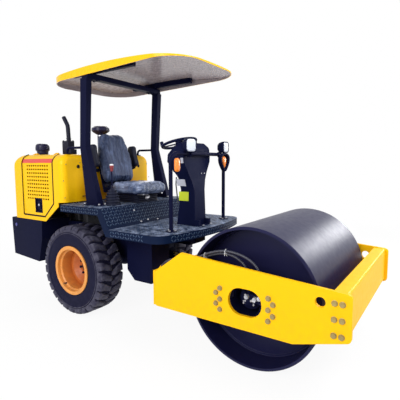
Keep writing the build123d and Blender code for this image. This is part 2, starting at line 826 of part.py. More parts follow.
# Post stays: a tube each side from the front edge of the hood forward to the post's knee.
stay_radius = 12
stay_z = knee_z - 4
stay_foot_x = hood_front_x - 70
with BuildPart() as post_stays:
    for side in (-1, 1):
        with BuildLine() as stay_path:
            FilletPolyline(
                (stay_foot_x, side * (post_outer_y - post_width / 2), hood_top_z + seat_gap),
                (stay_foot_x, side * (post_outer_y - post_width / 2), stay_z),
                (post_knee_x - seat_gap, side * (post_outer_y - post_width / 2), stay_z),
                radius=36,
            )
        with BuildSketch(Plane(origin=stay_path.line @ 0, z_dir=stay_path.line % 0)):
            Circle(stay_radius)
        sweep(path=stay_path.line)
        with Locations((stay_foot_x, side * (post_outer_y - post_width / 2), hood_top_z + seat_gap + 4)):
            Box(58, 46, 8)
save(post_stays, "post_stays")

crossbar_height = 50
canopy_wall = 8
crossbar_x = drum_x - 1756
with BuildPart() as crossbar:
    with Locations((crossbar_x, 0, post_top_z + seat_gap + crossbar_height / 2)):
        Box(80, canopy_width - 2 * canopy_wall - 2 * seat_gap, crossbar_height)
    fillet(crossbar.edges().filter_by(Axis.Y), 6)
save(crossbar, "rops_crossbar")

# Canopy: a domed shell with a rounded-rectangle outline, nose slightly up, open underneath,
# on two rails along the crossbar's ends.
canopy_mid_x = drum_x - 1517
canopy_pitch = 1.95
canopy_corner = 300
canopy_crown = 92
dome_radius = 7000
dome_centre_x = -180  # the crown stands behind the middle
canopy_plane = Plane(
    origin=(canopy_mid_x, 0, canopy_edge_z),
    x_dir=(cos(radians(canopy_pitch)), 0, sin(radians(canopy_pitch))),
    z_dir=(-sin(radians(canopy_pitch)), 0, cos(radians(canopy_pitch))),
)


def canopy_form(inset):
    """Rounded-rectangle prism capped by a shallow sphere."""
    with BuildPart(canopy_plane) as form:
        with BuildSketch(canopy_plane):
            RectangleRounded(
                canopy_length - 2 * inset, canopy_width - 2 * inset, canopy_corner - inset
            )
        extrude(amount=canopy_crown + 20)
        with Locations((dome_centre_x, 0, canopy_crown - dome_radius)):
            Sphere(dome_radius - inset, mode=Mode.INTERSECT)
    return form


canopy_outer = canopy_form(0)
canopy_inner = canopy_form(canopy_wall)
canopy_room = canopy_form(canopy_wall + seat_gap)

with BuildPart() as canopy:
    add(canopy_outer.part)
    add(canopy_inner.part, mode=Mode.SUBTRACT)
save(canopy, "canopy")

rail_half_y = 425
canopy_rail_length = 823
canopy_rail_z = post_top_z + crossbar_height + 2 * seat_gap
with BuildPart() as canopy_rails:
    for side in (-1, 1):
        with Locations((drum_x - 1624, side * rail_half_y, canopy_rail_z + canopy_crown / 2)):
            Box(canopy_rail_length, 40, canopy_crown)
    add(canopy_room.part, mode=Mode.INTERSECT)
save(canopy_rails, "canopy_rails")

# ================================================================= operator's place
# Console: a waisted moulding with a broad cowl above a narrow column.
console_base_z = floor_z + seat_gap
column_half = 86
waist_z = floor_z + 326
cowl_half = 214
cowl_top_z = floor_z + 760
wheel_rake = 15
wheel_centre = (drum_x - 1054, 0, floor_z + 761)
wheel_plane = Plane(
    origin=wheel_centre,
    x_dir=(cos(radians(wheel_rake)), 0, sin(radians(wheel_rake))),
    z_dir=(-sin(radians(wheel_rake)), 0, cos(radians(wheel_rake))),
)
column_radius = 24
column_top = 23  # below the wheel's centre, along the column
column_length = 190
foot_reach = 44  # the bracket that bolts the console's front foot down
foot_height = 56
with BuildPart() as console:
    with BuildSketch(Plane.XZ.offset(-cowl_half)) as console_side:
        with BuildLine():
            Polyline(
                (console_front_x, console_base_z),
                (console_front_x - 8, waist_z),
                (console_front_x - 30, floor_z + 486),
                (console_front_x - 36, floor_z + 706),
                (console_front_x - 66, cowl_top_z),
                (console_front_x - 110, cowl_top_z),
                (console_rear_x - 2, floor_z + 656),
                (console_rear_x - 14, floor_z + 586),
                (console_rear_x + 44, floor_z + 446),
                (console_rear_x + 44, waist_z),
                (console_rear_x, console_base_z),
                close=True,
            )
        make_face()
    extrude(amount=2 * cowl_half)
    with BuildSketch(Plane.YZ.offset(console_rear_x - 200)) as console_face:
        with BuildLine():
            Polyline(
                (column_half + 4, console_base_z),
                (column_half - 4, waist_z),
                (column_half + 24, floor_z + 416),
                (cowl_half - 6, floor_z + 586),
                (cowl_half, floor_z + 646),
                (cowl_half - 12, floor_z + 726),
                (cowl_half - 56, cowl_top_z),
                (56 - cowl_half, cowl_top_z),
                (12 - cowl_half, floor_z + 726),
                (-cowl_half, floor_z + 646),
                (6 - cowl_half, floor_z + 586),
                (-column_half - 24, floor_z + 416),
                (4 - column_half, waist_z),
                (-column_half - 4, console_base_z),
                close=True,
            )
        make_face()
        fillet(console_face.vertices().group_by(Axis.Y)[-1], 24)
    extrude(amount=500, mode=Mode.INTERSECT)
    with BuildSketch(wheel_plane.offset(-column_top - column_length - seat_gap)):
        Circle(column_radius + seat_gap)
    extrude(amount=column_length, mode=Mode.SUBTRACT)
    with Locations((console_front_x + foot_reach / 2, 0, console_base_z + foot_height / 2)):
        Box(foot_reach + 8, 2 * column_half + 24, foot_height)
    with Locations((console_front_x + foot_reach / 2 + 6, 0, console_base_z + foot_height / 2 + 6)):
        Box(foot_reach + 20, 2 * column_half - 40, foot_height, mode=Mode.SUBTRACT)
save(console, "console")

# Steering wheel on its column, raked towards the seat.
hub_bore = 11
hub_length = 40
rim_bar = 13
knob_radius = 17
knob_height = 44
knob_angle = 214  # from straight ahead, round to the right and behind
wheel_axis = Axis(wheel_centre, wheel_plane.z_dir)
with BuildPart(wheel_plane) as steering_wheel:
    Torus(steering_wheel_radius - rim_bar, rim_bar)
    Cylinder(34, hub_length)
    with PolarLocations(0, 3, start_angle=90):
        with Locations((steering_wheel_radius / 2, 0, 0)):
            Box(steering_wheel_radius - 2 * rim_bar, 28, 8)
    Cylinder(hub_bore + running_gap, hub_length + 10, mode=Mode.SUBTRACT)
    with PolarLocations(steering_wheel_radius - rim_bar, 1, start_angle=knob_angle):
        with Locations((0, 0, rim_bar - 4 + knob_height / 2)):
            Cylinder(knob_radius, knob_height)
    fillet(steering_wheel.edges().filter_by(GeomType.CIRCLE).sort_by(wheel_axis)[-1], 8)
save(steering_wheel, "steering_wheel")

with BuildPart(wheel_plane) as steering_column:
    with Locations((0, 0, -column_top - column_length / 2)):
        Cylinder(column_radius, column_length)
    with Locations((0, 0, -30)):
        Cylinder(hub_bore, 70)
save(steering_column, "steering_column")

# Lamp frame: one bent tube from floor to floor with a round flange at each foot.
lamp_x = drum_x - 820
lamp_half_y = 428
lamp_bar_z = floor_z + 658
tube_radius = 17
tube_bend = 90
flange_radius = 48
with BuildPart() as lamp_frame:
    with BuildLine() as tube_path:
        FilletPolyline(
            (lamp_x, -lamp_half_y, floor_z + seat_gap),
            (lamp_x, -lamp_half_y, lamp_bar_z),
            (lamp_x, lamp_half_y, lamp_bar_z),
            (lamp_x, lamp_half_y, floor_z + seat_gap),
            radius=tube_bend,
        )
    with BuildSketch(Plane.XY.offset(floor_z + seat_gap)):
        with Locations((lamp_x, -lamp_half_y)):
            Circle(tube_radius)
    sweep(path=tube_path.line)
    for side in (-1, 1):
        with Locations((lamp_x, side * lamp_half_y, floor_z + seat_gap + 4)):
            Cylinder(flange_radius, 8)
save(lamp_frame, "lamp_frame")

# Work lamps on the bar: square housings with a bracket down to the tube.
lamp_places = ((-170, -170), (400, 350))  # middle of the lamp, middle of its foot on the bar
lamp_size = 112
lamp_depth = 70
with BuildPart() as headlamps:
    for lamp_y, foot_y in lamp_places:
        with BuildSketch(Plane.YZ.offset(lamp_x - 12)) as lamp_face:
            with Locations((lamp_y, lamp_bar_z + tube_radius + 8 + lamp_size / 2)):
                RectangleRounded(lamp_size - 12, lamp_size, 28)
        extrude(amount=lamp_depth)
        with Locations((lamp_x, foot_y, lamp_bar_z + tube_radius + seat_gap + 6)):
            Box(34, 36, 12)
save(headlamps, "headlamps")

# Direction indicators in front of the tube's bends.
indicator_y = 385
indicator_z = lamp_bar_z - 100
with BuildPart() as indicators:
    for side in (-1, 1):
        with BuildSketch(Plane.YZ.offset(lamp_x + tube_radius + seat_gap)):
            with Locations((side * indicator_y, indicator_z)):
                SlotOverall(146, 84, rotation=90)
        extrude(amount=42)
save(indicators, "indicators")

# Driver's place: suspension box, cushion, raked back and folded armrests.
cushion_front = drum_x - 1373
cushion_length = 470
cushion_bottom = deck_z + 100
cushion_height = 82
back_rake = 14
seat_plate = 8
suspension_height = cushion_bottom - seat_plate - deck_z - 3 * seat_gap
with BuildPart() as seat_suspension:
    with Locations((cushion_front - cushion_length / 2 - 20, 0, deck_z + seat_gap + suspension_height / 2)):
        Box(350, 330, suspension_height)
    fillet(seat_suspension.edges().filter_by(Axis.Z), 25)
save(seat_suspension, "seat_suspension")

with BuildPart() as seat_cushion:
    with Locations((cushion_front - cushion_length / 2, 0, cushion_bottom + cushion_height / 2)):
        Box(cushion_length, seat_width, cushion_height)
    fillet(seat_cushion.edges().filter_by(Axis.Z), 50)
    fillet(seat_cushion.edges().group_by(Axis.Z)[-1], 22)
save(seat_cushion, "seat_cushion")

back_foot_x = cushion_front - cushion_length + 12
back_foot_z = cushion_bottom + cushion_height + 12
back_height = 545
back_thickness = 95
back_plane = Plane(
    origin=(back_foot_x, 0, back_foot_z),
    x_dir=(0, -1, 0),
    z_dir=(-cos(radians(back_rake)), 0, -sin(radians(back_rake))),
)
with BuildPart(back_plane) as seat_back:
    with BuildSketch(back_plane) as back_outline:
        with BuildLine():
            Polyline(
                (-200, 0),
                (-222, 230),
                (-150, back_height),
                (150, back_height),
                (222, 230),
                (200, 0),
                close=True,
            )
        make_face()
        fillet(back_outline.vertices(), 60)
    extrude(amount=back_thickness)
save(seat_back, "seat_back")

# Seat frame: a pressed pan under the cushion that turns up behind the back.
pan_top = cushion_bottom - seat_gap
panel_depth = back_thickness + seat_gap
panel_height = 330
foot_drop = (back_foot_z - pan_top - panel_depth * sin(radians(back_rake))) / cos(radians(back_rake))
panel_foot = back_plane.from_local_coords((0, -foot_drop, panel_depth))
panel_head = back_plane.from_local_coords((0, panel_height, panel_depth))
panel_rear = back_plane.from_local_coords((0, panel_height, panel_depth + seat_plate))
mitre = seat_plate * (1 - sin(radians(back_rake))) / cos(radians(back_rake))
panel_heel = back_plane.from_local_coords((0, -foot_drop - mitre, panel_depth + seat_plate))
with BuildPart() as seat_frame:
    with BuildSketch(Plane.XZ.offset(-190)):
        with BuildLine():
            Polyline(
                (cushion_front - 40, pan_top - seat_plate),
                (cushion_front - 40, pan_top),
                (panel_foot.X, panel_foot.Z),
                (panel_head.X, panel_head.Z),
                (panel_rear.X, panel_rear.Z),
                (panel_heel.X, panel_heel.Z),
                close=True,
            )
        make_face()
    extrude(amount=380)
save(seat_frame, "seat_frame")

# Armrests: pads each side of the back on a bar that crosses behind the seat frame.
armrest_y = 266
bar_depth = panel_depth + seat_plate + seat_gap
with BuildPart(back_plane) as armrests:
    for side in (-1, 1):
        with Locations((side * armrest_y, 290, 45)):
            Box(55, 245, 80)
        with Locations((side * armrest_y, 172, (80 + bar_depth + 16) / 2)):
            Box(55, 40, bar_depth + 16 - 80)
    with Locations((0, 160, bar_depth + 8)):
        Box(2 * armrest_y, 40, 16)
save(armrests, "armrests")

# Travel lever: knob and rod in a ribbed boot on the deck.
lever_x = drum_x - 1552
lever_y = -400
with BuildPart() as travel_lever:
    with BuildSketch(Plane.XZ.offset(-lever_y)):
        with BuildLine():
            Polyline(
                (lever_x, deck_z + seat_gap),
                (lever_x + 65, deck_z + seat_gap),
                (lever_x + 50, deck_z + 40),
                (lever_x + 14, deck_z + 120),
                (lever_x + 6, deck_z + 120),
                (lever_x + 6, deck_z + 326),
                (lever_x + 15, deck_z + 334),
                (lever_x + 20, deck_z + 378),
                (lever_x + 12, deck_z + 390),
                (lever_x, deck_z + 390),
                close=True,
            )
        make_face()
    revolve(axis=Axis((lever_x, lever_y, 0), (0, 0, 1)))
save(travel_lever, "travel_lever")

# ================================================================= on the hood
silencer_x = hood_rear_x + 670
stack_y = -390
pipe_radius = 21
with BuildPart() as exhaust:
    with Locations((silencer_x, stack_y, hood_top_z + seat_gap + 69)):
        Box(175, 130, 138)
    fillet(exhaust.edges().filter_by(Axis.Z), 20)
    with BuildLine() as pipe_path:
        FilletPolyline(
            (silencer_x + 25, stack_y, hood_top_z + 80),
            (silencer_x + 12, stack_y, hood_top_z + 295),
            (silencer_x - 50, stack_y, hood_top_z + 385),
            radius=90,
        )
    with BuildSketch(Plane(origin=pipe_path.line @ 0, z_dir=pipe_path.line % 0)):
        Circle(pipe_radius)
    sweep(path=pipe_path.line)
save(exhaust, "exhaust")

cap_x = hood_rear_x + 225
with BuildPart() as intake_cap:
    with BuildSketch(Plane.XZ.offset(-stack_y)):
        with BuildLine():
            Polyline(
                (cap_x, hood_top_z + seat_gap),
                (cap_x + 60, hood_top_z + seat_gap),
                (cap_x + 60, hood_top_z + 30),
                (cap_x + 92, hood_top_z + 40),
                (cap_x + 92, hood_top_z + 75),
                (cap_x + 60, hood_top_z + 122),
                (cap_x, hood_top_z + 126),
                close=True,
            )
        make_face()
    revolve(axis=Axis((cap_x, stack_y, 0), (0, 0, 1)))
save(intake_cap, "intake_cap")

cleaner_x = hood_rear_x + 730
with BuildPart() as air_precleaner:
    with BuildSketch(Plane.XZ):
        with BuildLine():
            Polyline(
                (cleaner_x, hood_top_z + seat_gap),
                (cleaner_x + 36, hood_top_z + seat_gap),
                (cleaner_x + 36, hood_top_z + 225),
                (cleaner_x + 70, hood_top_z + 245),
                (cleaner_x + 96, hood_top_z + 265),
                (cleaner_x + 96, hood_top_z + 295),
                (cleaner_x + 70, hood_top_z + 312),
                (cleaner_x, hood_top_z + 316),
                close=True,
            )
        make_face()
    revolve(axis=Axis((cleaner_x, 0, 0), (0, 0, 1)))
save(air_precleaner, "air_precleaner")

# ================================================================= wheels
# Tyre: square-shouldered section. Rim: deep dish with the hub well inboard.
bead_radius = 209
rim_radius = 190
disc_y = 560
with BuildPart() as tyre_right:
    with BuildSketch(Plane.YZ.offset(axle_x)) as tyre_section:
        with BuildLine():
            inner_y = tyre_outer_y - tyre_width
            Polyline(
                (-tyre_outer_y + 28, axle_z + bead_radius),
                (-tyre_outer_y, axle_z + bead_radius + 70),
                (-tyre_outer_y + 8, axle_z + tyre_radius - 40),
                (-tyre_outer_y + 24, axle_z + tyre_radius),
                (-inner_y - 24, axle_z + tyre_radius),
                (-inner_y - 8, axle_z + tyre_radius - 40),
                (-inner_y, axle_z + bead_radius + 70),
                (-inner_y - 28, axle_z + bead_radius),
                close=True,
            )
        make_face()
    revolve(axis=Axis((axle_x, 0, axle_z), (0, 1, 0)))
save(tyre_right, "tyre_right")
save(mirrored(tyre_right), "tyre_left")

hub_inner = 448
hub_radius_outer = 92
with BuildPart() as rim_right:
    with BuildSketch(Plane.YZ.offset(axle_x)) as rim_section:
        with BuildLine():
            Polyline(
                (-hub_inner, axle_z + spindle_radius + running_gap),
                (-spindle_end_y - 2, axle_z + spindle_radius + running_gap),
                (-spindle_end_y - 2, axle_z),
                (-spindle_end_y - 14, axle_z),
                (-spindle_end_y - 14, axle_z + 62),
                (-disc_y + 40, axle_z + 70),
                (-disc_y + 40, axle_z + hub_radius_outer),
                (-disc_y, axle_z + 150),
                (-disc_y, axle_z + rim_radius - 12),
                (-tyre_outer_y + 40, axle_z + rim_radius - 6),
                (-tyre_outer_y + 30, axle_z + rim_radius + 6),
                (-tyre_outer_y + 2, axle_z + rim_radius + 10),
                (-tyre_outer_y + 2, axle_z + rim_flange_radius),
                (-tyre_outer_y + 14, axle_z + rim_flange_radius),
                (-tyre_outer_y + 20, axle_z + bead_radius - seat_gap),
                (-inner_y - 20, axle_z + bead_radius - seat_gap),
                (-inner_y - 8, axle_z + rim_flange_radius),
                (-inner_y - 2, axle_z + rim_flange_radius),
                (-inner_y - 2, axle_z + rim_radius),
                (-disc_y + 14, axle_z + rim_radius),
                (-disc_y + 14, axle_z + 150),
                (-disc_y + 52, axle_z + hub_radius_outer),
                (-hub_inner, axle_z + hub_radius_outer),
                close=True,
            )
        make_face()
    revolve(axis=Axis((axle_x, 0, axle_z), (0, 1, 0)))
save(rim_right, "rim_right")
save(mirrored(rim_right), "rim_left")

# ================================================================= steering cylinder
# Barrel pinned to the rear frame, rod reaching to the ears on the rear cross-member.
barrel_radius = 32
rod_radius = 16
barrel_length = 345
barrel_closed = 80  # solid end of the barrel, from its pin
rod_start = 200  # inner end of the rod, from the barrel's pin
pin_distance = hypot(rod_pin_x - barrel_pin_x, rod_pin_y - barrel_pin_y)
cylinder_line = Plane(
    origin=(barrel_pin_x, barrel_pin_y, cylinder_z),
    x_dir=(0, 0, 1),
    z_dir=(rod_pin_x - barrel_pin_x, rod_pin_y - barrel_pin_y, 0),
)
with BuildPart() as steer_barrel:
    with BuildSketch(cylinder_line):
        Rectangle(eye_height, 2 * eye_radius - 12)
    extrude(amount=eye_radius + 14)
    with BuildSketch(cylinder_line.offset(eye_radius + 10)):
        Circle(barrel_radius)
    extrude(amount=barrel_length - eye_radius - 10)
    with Locations((barrel_pin_x, barrel_pin_y, cylinder_z)):
        Cylinder(eye_radius, eye_height)
        Cylinder(cylinder_pin + running_gap, 100, mode=Mode.SUBTRACT)
    with BuildSketch(cylinder_line.offset(barrel_closed)):
        Circle(rod_radius + running_gap)
    extrude(amount=barrel_length, mode=Mode.SUBTRACT)
save(steer_barrel, "steer_barrel")

with BuildPart() as steer_rod:
    with BuildSketch(cylinder_line.offset(rod_start)):
        Circle(rod_radius)
    extrude(amount=pin_distance - rod_start)
    with Locations((rod_pin_x, rod_pin_y, cylinder_z)):
        Cylinder(eye_radius, eye_height)
save(steer_rod, "steer_rod")
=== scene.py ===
import json
from math import cos, pi, radians, sin

import bmesh
import bpy
import numpy as np
from mathutils import Matrix, Vector


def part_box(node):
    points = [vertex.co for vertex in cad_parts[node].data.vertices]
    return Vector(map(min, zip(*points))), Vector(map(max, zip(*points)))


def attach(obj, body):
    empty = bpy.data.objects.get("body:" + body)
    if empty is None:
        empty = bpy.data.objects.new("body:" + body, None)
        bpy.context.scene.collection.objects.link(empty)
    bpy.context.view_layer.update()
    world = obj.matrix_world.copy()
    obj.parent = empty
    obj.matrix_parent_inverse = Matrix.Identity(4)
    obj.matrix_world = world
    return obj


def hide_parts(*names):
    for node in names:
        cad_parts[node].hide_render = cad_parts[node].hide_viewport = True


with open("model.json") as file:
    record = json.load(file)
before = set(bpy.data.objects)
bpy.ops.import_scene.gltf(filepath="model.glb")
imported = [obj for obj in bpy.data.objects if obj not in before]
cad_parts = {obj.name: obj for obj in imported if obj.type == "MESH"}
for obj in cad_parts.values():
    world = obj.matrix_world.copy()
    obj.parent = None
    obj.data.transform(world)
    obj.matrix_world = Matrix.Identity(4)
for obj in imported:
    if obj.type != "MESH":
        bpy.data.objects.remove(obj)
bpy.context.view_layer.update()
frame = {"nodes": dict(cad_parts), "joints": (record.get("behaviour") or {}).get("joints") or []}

drum_low, drum_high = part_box("drum")
drum_x = (drum_low.x + drum_high.x) / 2
joints = {joint["name"]: joint for joint in frame["joints"]}


# Camera: at head height ahead of the right rear wheel and level with the front beam, on a
# slightly wide lens, turned back along the machine.
def linked(name, data):
    """A new object in the scene."""
    thing = bpy.data.objects.new(name, data)
    bpy.context.scene.collection.objects.link(thing)
    return thing


lens = bpy.data.cameras.new("studio_camera")
lens.lens, lens.sensor_width, lens.clip_end = 33.386, 36.0, 60.0
camera = linked("studio_camera", lens)
camera.matrix_world = (
    Matrix.Translation((drum_x + 1.109, -2.837, 1.432))
    @ Matrix.Rotation(radians(34.179), 4, "Z")
    @ Matrix.Rotation(radians(90 - 5.744), 4, "X")
    @ Matrix.Rotation(radians(-0.157), 4, "Z")
)
bpy.context.scene.camera = camera
bpy.context.scene.view_settings.view_transform = "Standard"


# Studio: a pale floor that runs into a white room, with one broad soft lamp over the front,
# one at the operator's right, a weak one behind and a small one beyond the drum.
def wire(tree, kind, inputs=(), **settings):
    """A shader node; inputs maps a socket to its value or to the socket that feeds it."""
    node = tree.nodes.new("ShaderNode" + kind)
    for key, value in settings.items():
        setattr(node, key, value)
    for key, value in dict(inputs).items():
        if isinstance(value, bpy.types.NodeSocket):
            tree.links.new(value, node.inputs[key])
        else:
            node.inputs[key].default_value = value
    return node


def seen(tree):
    """One for a ray from the camera, a mirror or glass, nought for a lighting ray."""
    path = wire(tree, "LightPath").outputs
    pair = wire(tree, "Math", {0: path["Is Camera Ray"], 1: path["Is Glossy Ray"]}, operation="ADD")
    every = {0: pair.outputs[0], 1: path["Is Transmission Ray"]}
    return wire(tree, "Math", every, operation="ADD", use_clamp=True).outputs[0]


def mixed_in(tree, output, share, first, second):
    """Two shaders mixed by a share and led to the tree's surface."""
    both = wire(tree, "MixShader", {"Fac": share, 1: first.outputs[0], 2: second.outputs[0]})
    tree.links.new(both.outputs[0], tree.nodes[output].inputs["Surface"])


room = bpy.data.worlds.new("studio_room")
room.use_nodes = True
tree = room.node_tree
lighting = tree.nodes["Background"]
lighting.inputs["Color"].default_value = (0.93, 0.96, 1.0, 1)
lighting.inputs["Strength"].default_value = 0.50
white = wire(tree, "Background", {"Color": (1, 1, 1, 1)})
mixed_in(tree, "World Output", seen(tree), lighting, white)
bpy.context.scene.world = room

floor_half = 30.0
floor_glow = 0.92
floor_paint = bpy.data.materials.new("studio_floor")
floor_paint.use_nodes = True
tree = floor_paint.node_tree
body = tree.nodes["Principled BSDF"]
body.inputs["Base Color"].default_value = (0.86, 0.86, 0.87, 1)
body.inputs["Roughness"].default_value = 0.9
glow = wire(tree, "Emission", {"Color": (1, 1, 1, 1)})
reach = wire(tree, "VectorMath", {0: wire(tree, "TexCoord").outputs["Object"]}, operation="LENGTH")
far = {"Value": reach.outputs["Value"], "From Min": 2.0, "From Max": 7.0, "To Min": floor_glow, "To Max": 1.0}
far = wire(tree, "MapRange", far, clamp=True).outputs[0]
share = wire(tree, "Math", {0: seen(tree), 1: far}, operation="MULTIPLY")
mixed_in(tree, "Material Output", share.outputs[0], body, glow)
corners = [(x * floor_half, y * floor_half, -0.001) for x, y in ((-1, -1), (1, -1), (1, 1), (-1, 1))]
floor_mesh = bpy.data.meshes.new("studio_floor")
floor_mesh.from_pydata(corners, [], [(0, 1, 2, 3)])
floor_mesh.materials.append(floor_paint)
linked("studio_floor", floor_mesh)


def soft_lamp(name, place, aim, size, watts):
    """A square soft lamp at a place, facing a point."""
    light = bpy.data.lights.new(name, "AREA")
    light.size, light.energy = size, watts
    facing = (Vector(aim) - Vector(place)).to_track_quat("-Z", "Y").to_matrix().to_4x4()
    linked(name, light).matrix_world = Matrix.Translation(place) @ facing


soft_lamp("lamp_over_front", (4.2, 0.6, 4.6), (0.4, 0, 0.8), 3.2, 220)
soft_lamp("lamp_at_right", (0.6, -6.0, 3.4), (0, 0, 0.9), 3.6, 290)
soft_lamp("lamp_behind", (-5.0, 3.5, 3.6), (-0.6, 0, 1.0), 3.0, 120)
soft_lamp("lamp_far_left", (2.3, 4.2, 2.1), (drum_x, 0, 0.5), 1.2, 55)

# Drum hoses: two steel-braided rubber hoses in spiral guards, crimped into couplings on the
# rear cross-member and bowed over beside the drum to the motor's ports. Two white plastic
# ties keep them together. Shapes are in millimetres here and below, and places in metres.
mm = 0.001


def beside(place, steps):
    """Places in metres, each a step in millimetres away from one."""
    return np.array(place, float) + mm * np.array(steps, float)


def numbers(items, key="co"):
    """The triple that every item of a mesh has under a key, as one array."""
    values = np.empty(len(items) * 3)
    items.foreach_get(key, values)
    return values.reshape(-1, 3)


def point_run(route, spacing):
    """Points an equal spacing apart, read from the smooth spline whose control points are
    the route, as Blender evaluates it."""
    curve = bpy.data.curves.new("route", "CURVE")
    curve.dimensions = "3D"
    curve.resolution_u = 40
    spline = curve.splines.new("NURBS")
    spline.points.add(len(route) - 1)
    spline.points.foreach_set("co", np.insert(route, 3, 1.0, axis=1).ravel())
    spline.order_u = 3
    spline.use_endpoint_u = True
    shown = bpy.data.objects.new("route", curve)
    points = numbers(bpy.data.meshes.new_from_object(shown).vertices)
    walked = np.insert(np.cumsum(np.linalg.norm(np.diff(points, axis=0), axis=1)), 0, 0)
    bpy.data.objects.remove(shown)
    stops = np.linspace(0, walked[-1], int(walked[-1] / spacing) + 1)
    return np.stack([np.interp(stops, walked, points[:, k]) for k in range(3)], 1), stops


def capped(rings, middles):
    """Rings of points with both ends drawn in to the first and the last of the middles."""
    first, last = (np.repeat(middles[k][None, None], rings.shape[1], 1) for k in (0, -1))
    return np.concatenate([first, rings, last])


def drawn(path, outline, up=(0, 0, 1), closed=False):
    """An outline carried along a path of places, square to it: its first number lies to the
    side, its second upward. Open ends are closed at the path's ends."""
    path, outline = np.asarray(path, float), mm * np.asarray(outline, float)
    along = np.roll(path, -1, 0) - np.roll(path, 1, 0) if closed else np.gradient(path, axis=0)
    along /= np.linalg.norm(along, axis=1, keepdims=True)
    side = np.cross(up, along)
    side /= np.linalg.norm(side, axis=1, keepdims=True)
    over = np.cross(along, side)
    rings = path[:, None] + outline[..., :1] * side[:, None] + outline[..., 1:] * over[:, None]
    return np.concatenate([rings, rings[:1]]) if closed else capped(rings, path)


def on_circle(radius, angle):
    """Points of a circle at some angles: radius times cosine, and radius times sine."""
    return radius * np.stack([np.cos(angle), np.sin(angle)], -1)


def ngon(sides, radius, start=0.0):
    """Corners of a regular figure of so many sides on a circle, the first at an angle."""
    return on_circle(radius, np.arange(sides) * 2 * pi / sides + start)


def hold(name, mesh, material, slot, body="rear_frame", replaces=(), crease=38.0, modifiers=()):
    """The mesh as a piece of the machine: shaded, finished, and riding on its body."""
    mesh.materials.clear()
    mesh.materials.append(material)
    mesh.polygons.foreach_set("use_smooth", np.ones(len(mesh.polygons), bool))
    mesh.set_sharp_from_angle(angle=radians(crease))
    piece = linked(name, mesh)
    for kind, settings in modifiers:
        modifier = piece.modifiers.new(kind.lower(), kind)
        for key, value in settings.items():
            setattr(modifier, key, value)
    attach(piece, body)
    if replaces:
        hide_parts(*replaces)
    return piece


def joined_up(source, mesh, distance, flatten=None):
    """A mesh from a source, with its equal points merged, its flat parts made whole faces if
    asked, and its faces turned outward."""
    form = bmesh.new()
    form.from_mesh(source)
    bmesh.ops.remove_doubles(form, verts=form.verts, dist=distance)
    if flatten:
        bmesh.ops.dissolve_limit(form, angle_limit=radians(flatten), verts=form.verts, edges=form.edges)
    bmesh.ops.recalc_face_normals(form, faces=form.faces)
    form.to_mesh(mesh)
    form.free()
    return mesh


def skin(name, grids, material, slot, body="rear_frame", **rest):
    """One mesh from grids of points, each closed round its last parameter: quads between
    neighbours, equal points merged, faces turned outward."""
    points, faces, count = [], [], 0
    for grid in grids:
        block = np.asarray(grid).reshape(-1, *np.shape(grid)[-3:])
        copies, rows, columns = block.shape[:3]
        index = np.arange(rows * columns).reshape(rows, columns)
        ring = np.roll(index, -1, 1)
        quad = np.stack([index[:-1], ring[:-1], ring[1:], index[1:]], -1).reshape(-1, 4)
        step = count + np.arange(copies)[:, None, None] * rows * columns
        points.append(block.reshape(-1, 3))
        faces.append((quad[None] + step).reshape(-1, 4))
        count += copies * rows * columns
    mesh = bpy.data.meshes.new(name)
    mesh.from_pydata(np.concatenate(points), [], np.concatenate(faces).tolist())
    return hold(name, joined_up(mesh, mesh, 2e-5), material, slot, body, **rest)


def surface_group(name, *sockets):
    """A shader node group with these inputs and the three outputs of every finish: the group,
    its inputs as it sees them, its texture coordinates, and its outputs to wire up."""
    group = bpy.data.node_groups.new(name, "ShaderNodeTree")
    for label, kind, value in sockets:
        group.interface.new_socket(label, in_out="INPUT", socket_type="NodeSocket" + kind).default_value = value
    for label, kind in (("Colour", "Color"), ("Roughness", "Float"), ("Height", "Float")):
        group.interface.new_socket(label, in_out="OUTPUT", socket_type="NodeSocket" + kind)
    given, result = (group.nodes.new("NodeGroup" + end) for end in ("Input", "Output"))
    return group, given.outputs, wire(group, "TexCoord").outputs, result.inputs


def noise(tree, place, scale, **more):
    """Soft random cloud over a place, so many to the metre."""
    return wire(tree, "TexNoise", {"Vector": place, "Scale": scale, **more}).outputs[0]


def ramp(tree, value, low, high, start=0.0, end=1.0):
    """The value carried from low..high to start..end and held there beyond."""
    sockets = {"Value": value, "From Min": low, "From Max": high, "To Min": start, "To Max": end}
    return wire(tree, "MapRange", sockets, clamp=True).outputs[0]


def sums(tree, operation, first, second):
    """One Math node on two values, held between nought and one."""
    return wire(tree, "Math", {0: first, 1: second}, operation=operation, use_clamp=True).outputs[0]


def blended(tree, share, first, second, blend="MIX"):
    """Two colours mixed by a share."""
    sides = {0: share, 6: first, 7: second}
    return wire(tree, "Mix", sides, data_type="RGBA", blend_type=blend).outputs[2]


# Every finish: random tone, grain, and a grime colour laid in patches, most on low and upward faces; in the
# deck, the chequer and the hose guard that colour is partly painted sheen and glints.
worn, given, place, result = surface_group(
    "worn_surface", ("Colour", "Color", (0.5, 0.5, 0.5, 1)), ("Grime", "Color", (0.2, 0.17, 0.14, 1)),
    ("Mottle", "Float", 0.2), ("Dust", "Float", 0.3), ("Dust Height", "Float", 0.6),
    ("Grain", "Float", 260.0), ("Roughness", "Float", 0.4),
)
cloud = noise(worn, place["Object"], 2.6, Detail=5.0)
speck = noise(worn, place["Object"], 23.0, Detail=8.0)
grain = noise(worn, place["Object"], given["Grain"], Detail=2.0)
level = wire(worn, "SeparateXYZ", {0: place["Object"]}).outputs["Z"]
facing = wire(worn, "SeparateXYZ", {0: place["Normal"]}).outputs["Z"]
patch = sums(worn, "MULTIPLY", ramp(worn, cloud, 0.36, 0.66), given["Mottle"])
sprayed_coat = blended(worn, patch, given["Colour"], (0.62, 0.62, 0.66, 1), "MULTIPLY")
low_down = ramp(worn, level, 0.0, given["Dust Height"], 1.0, 0.0)
lying = ramp(worn, facing, 0.55, 1.0, 0.0, 0.45)
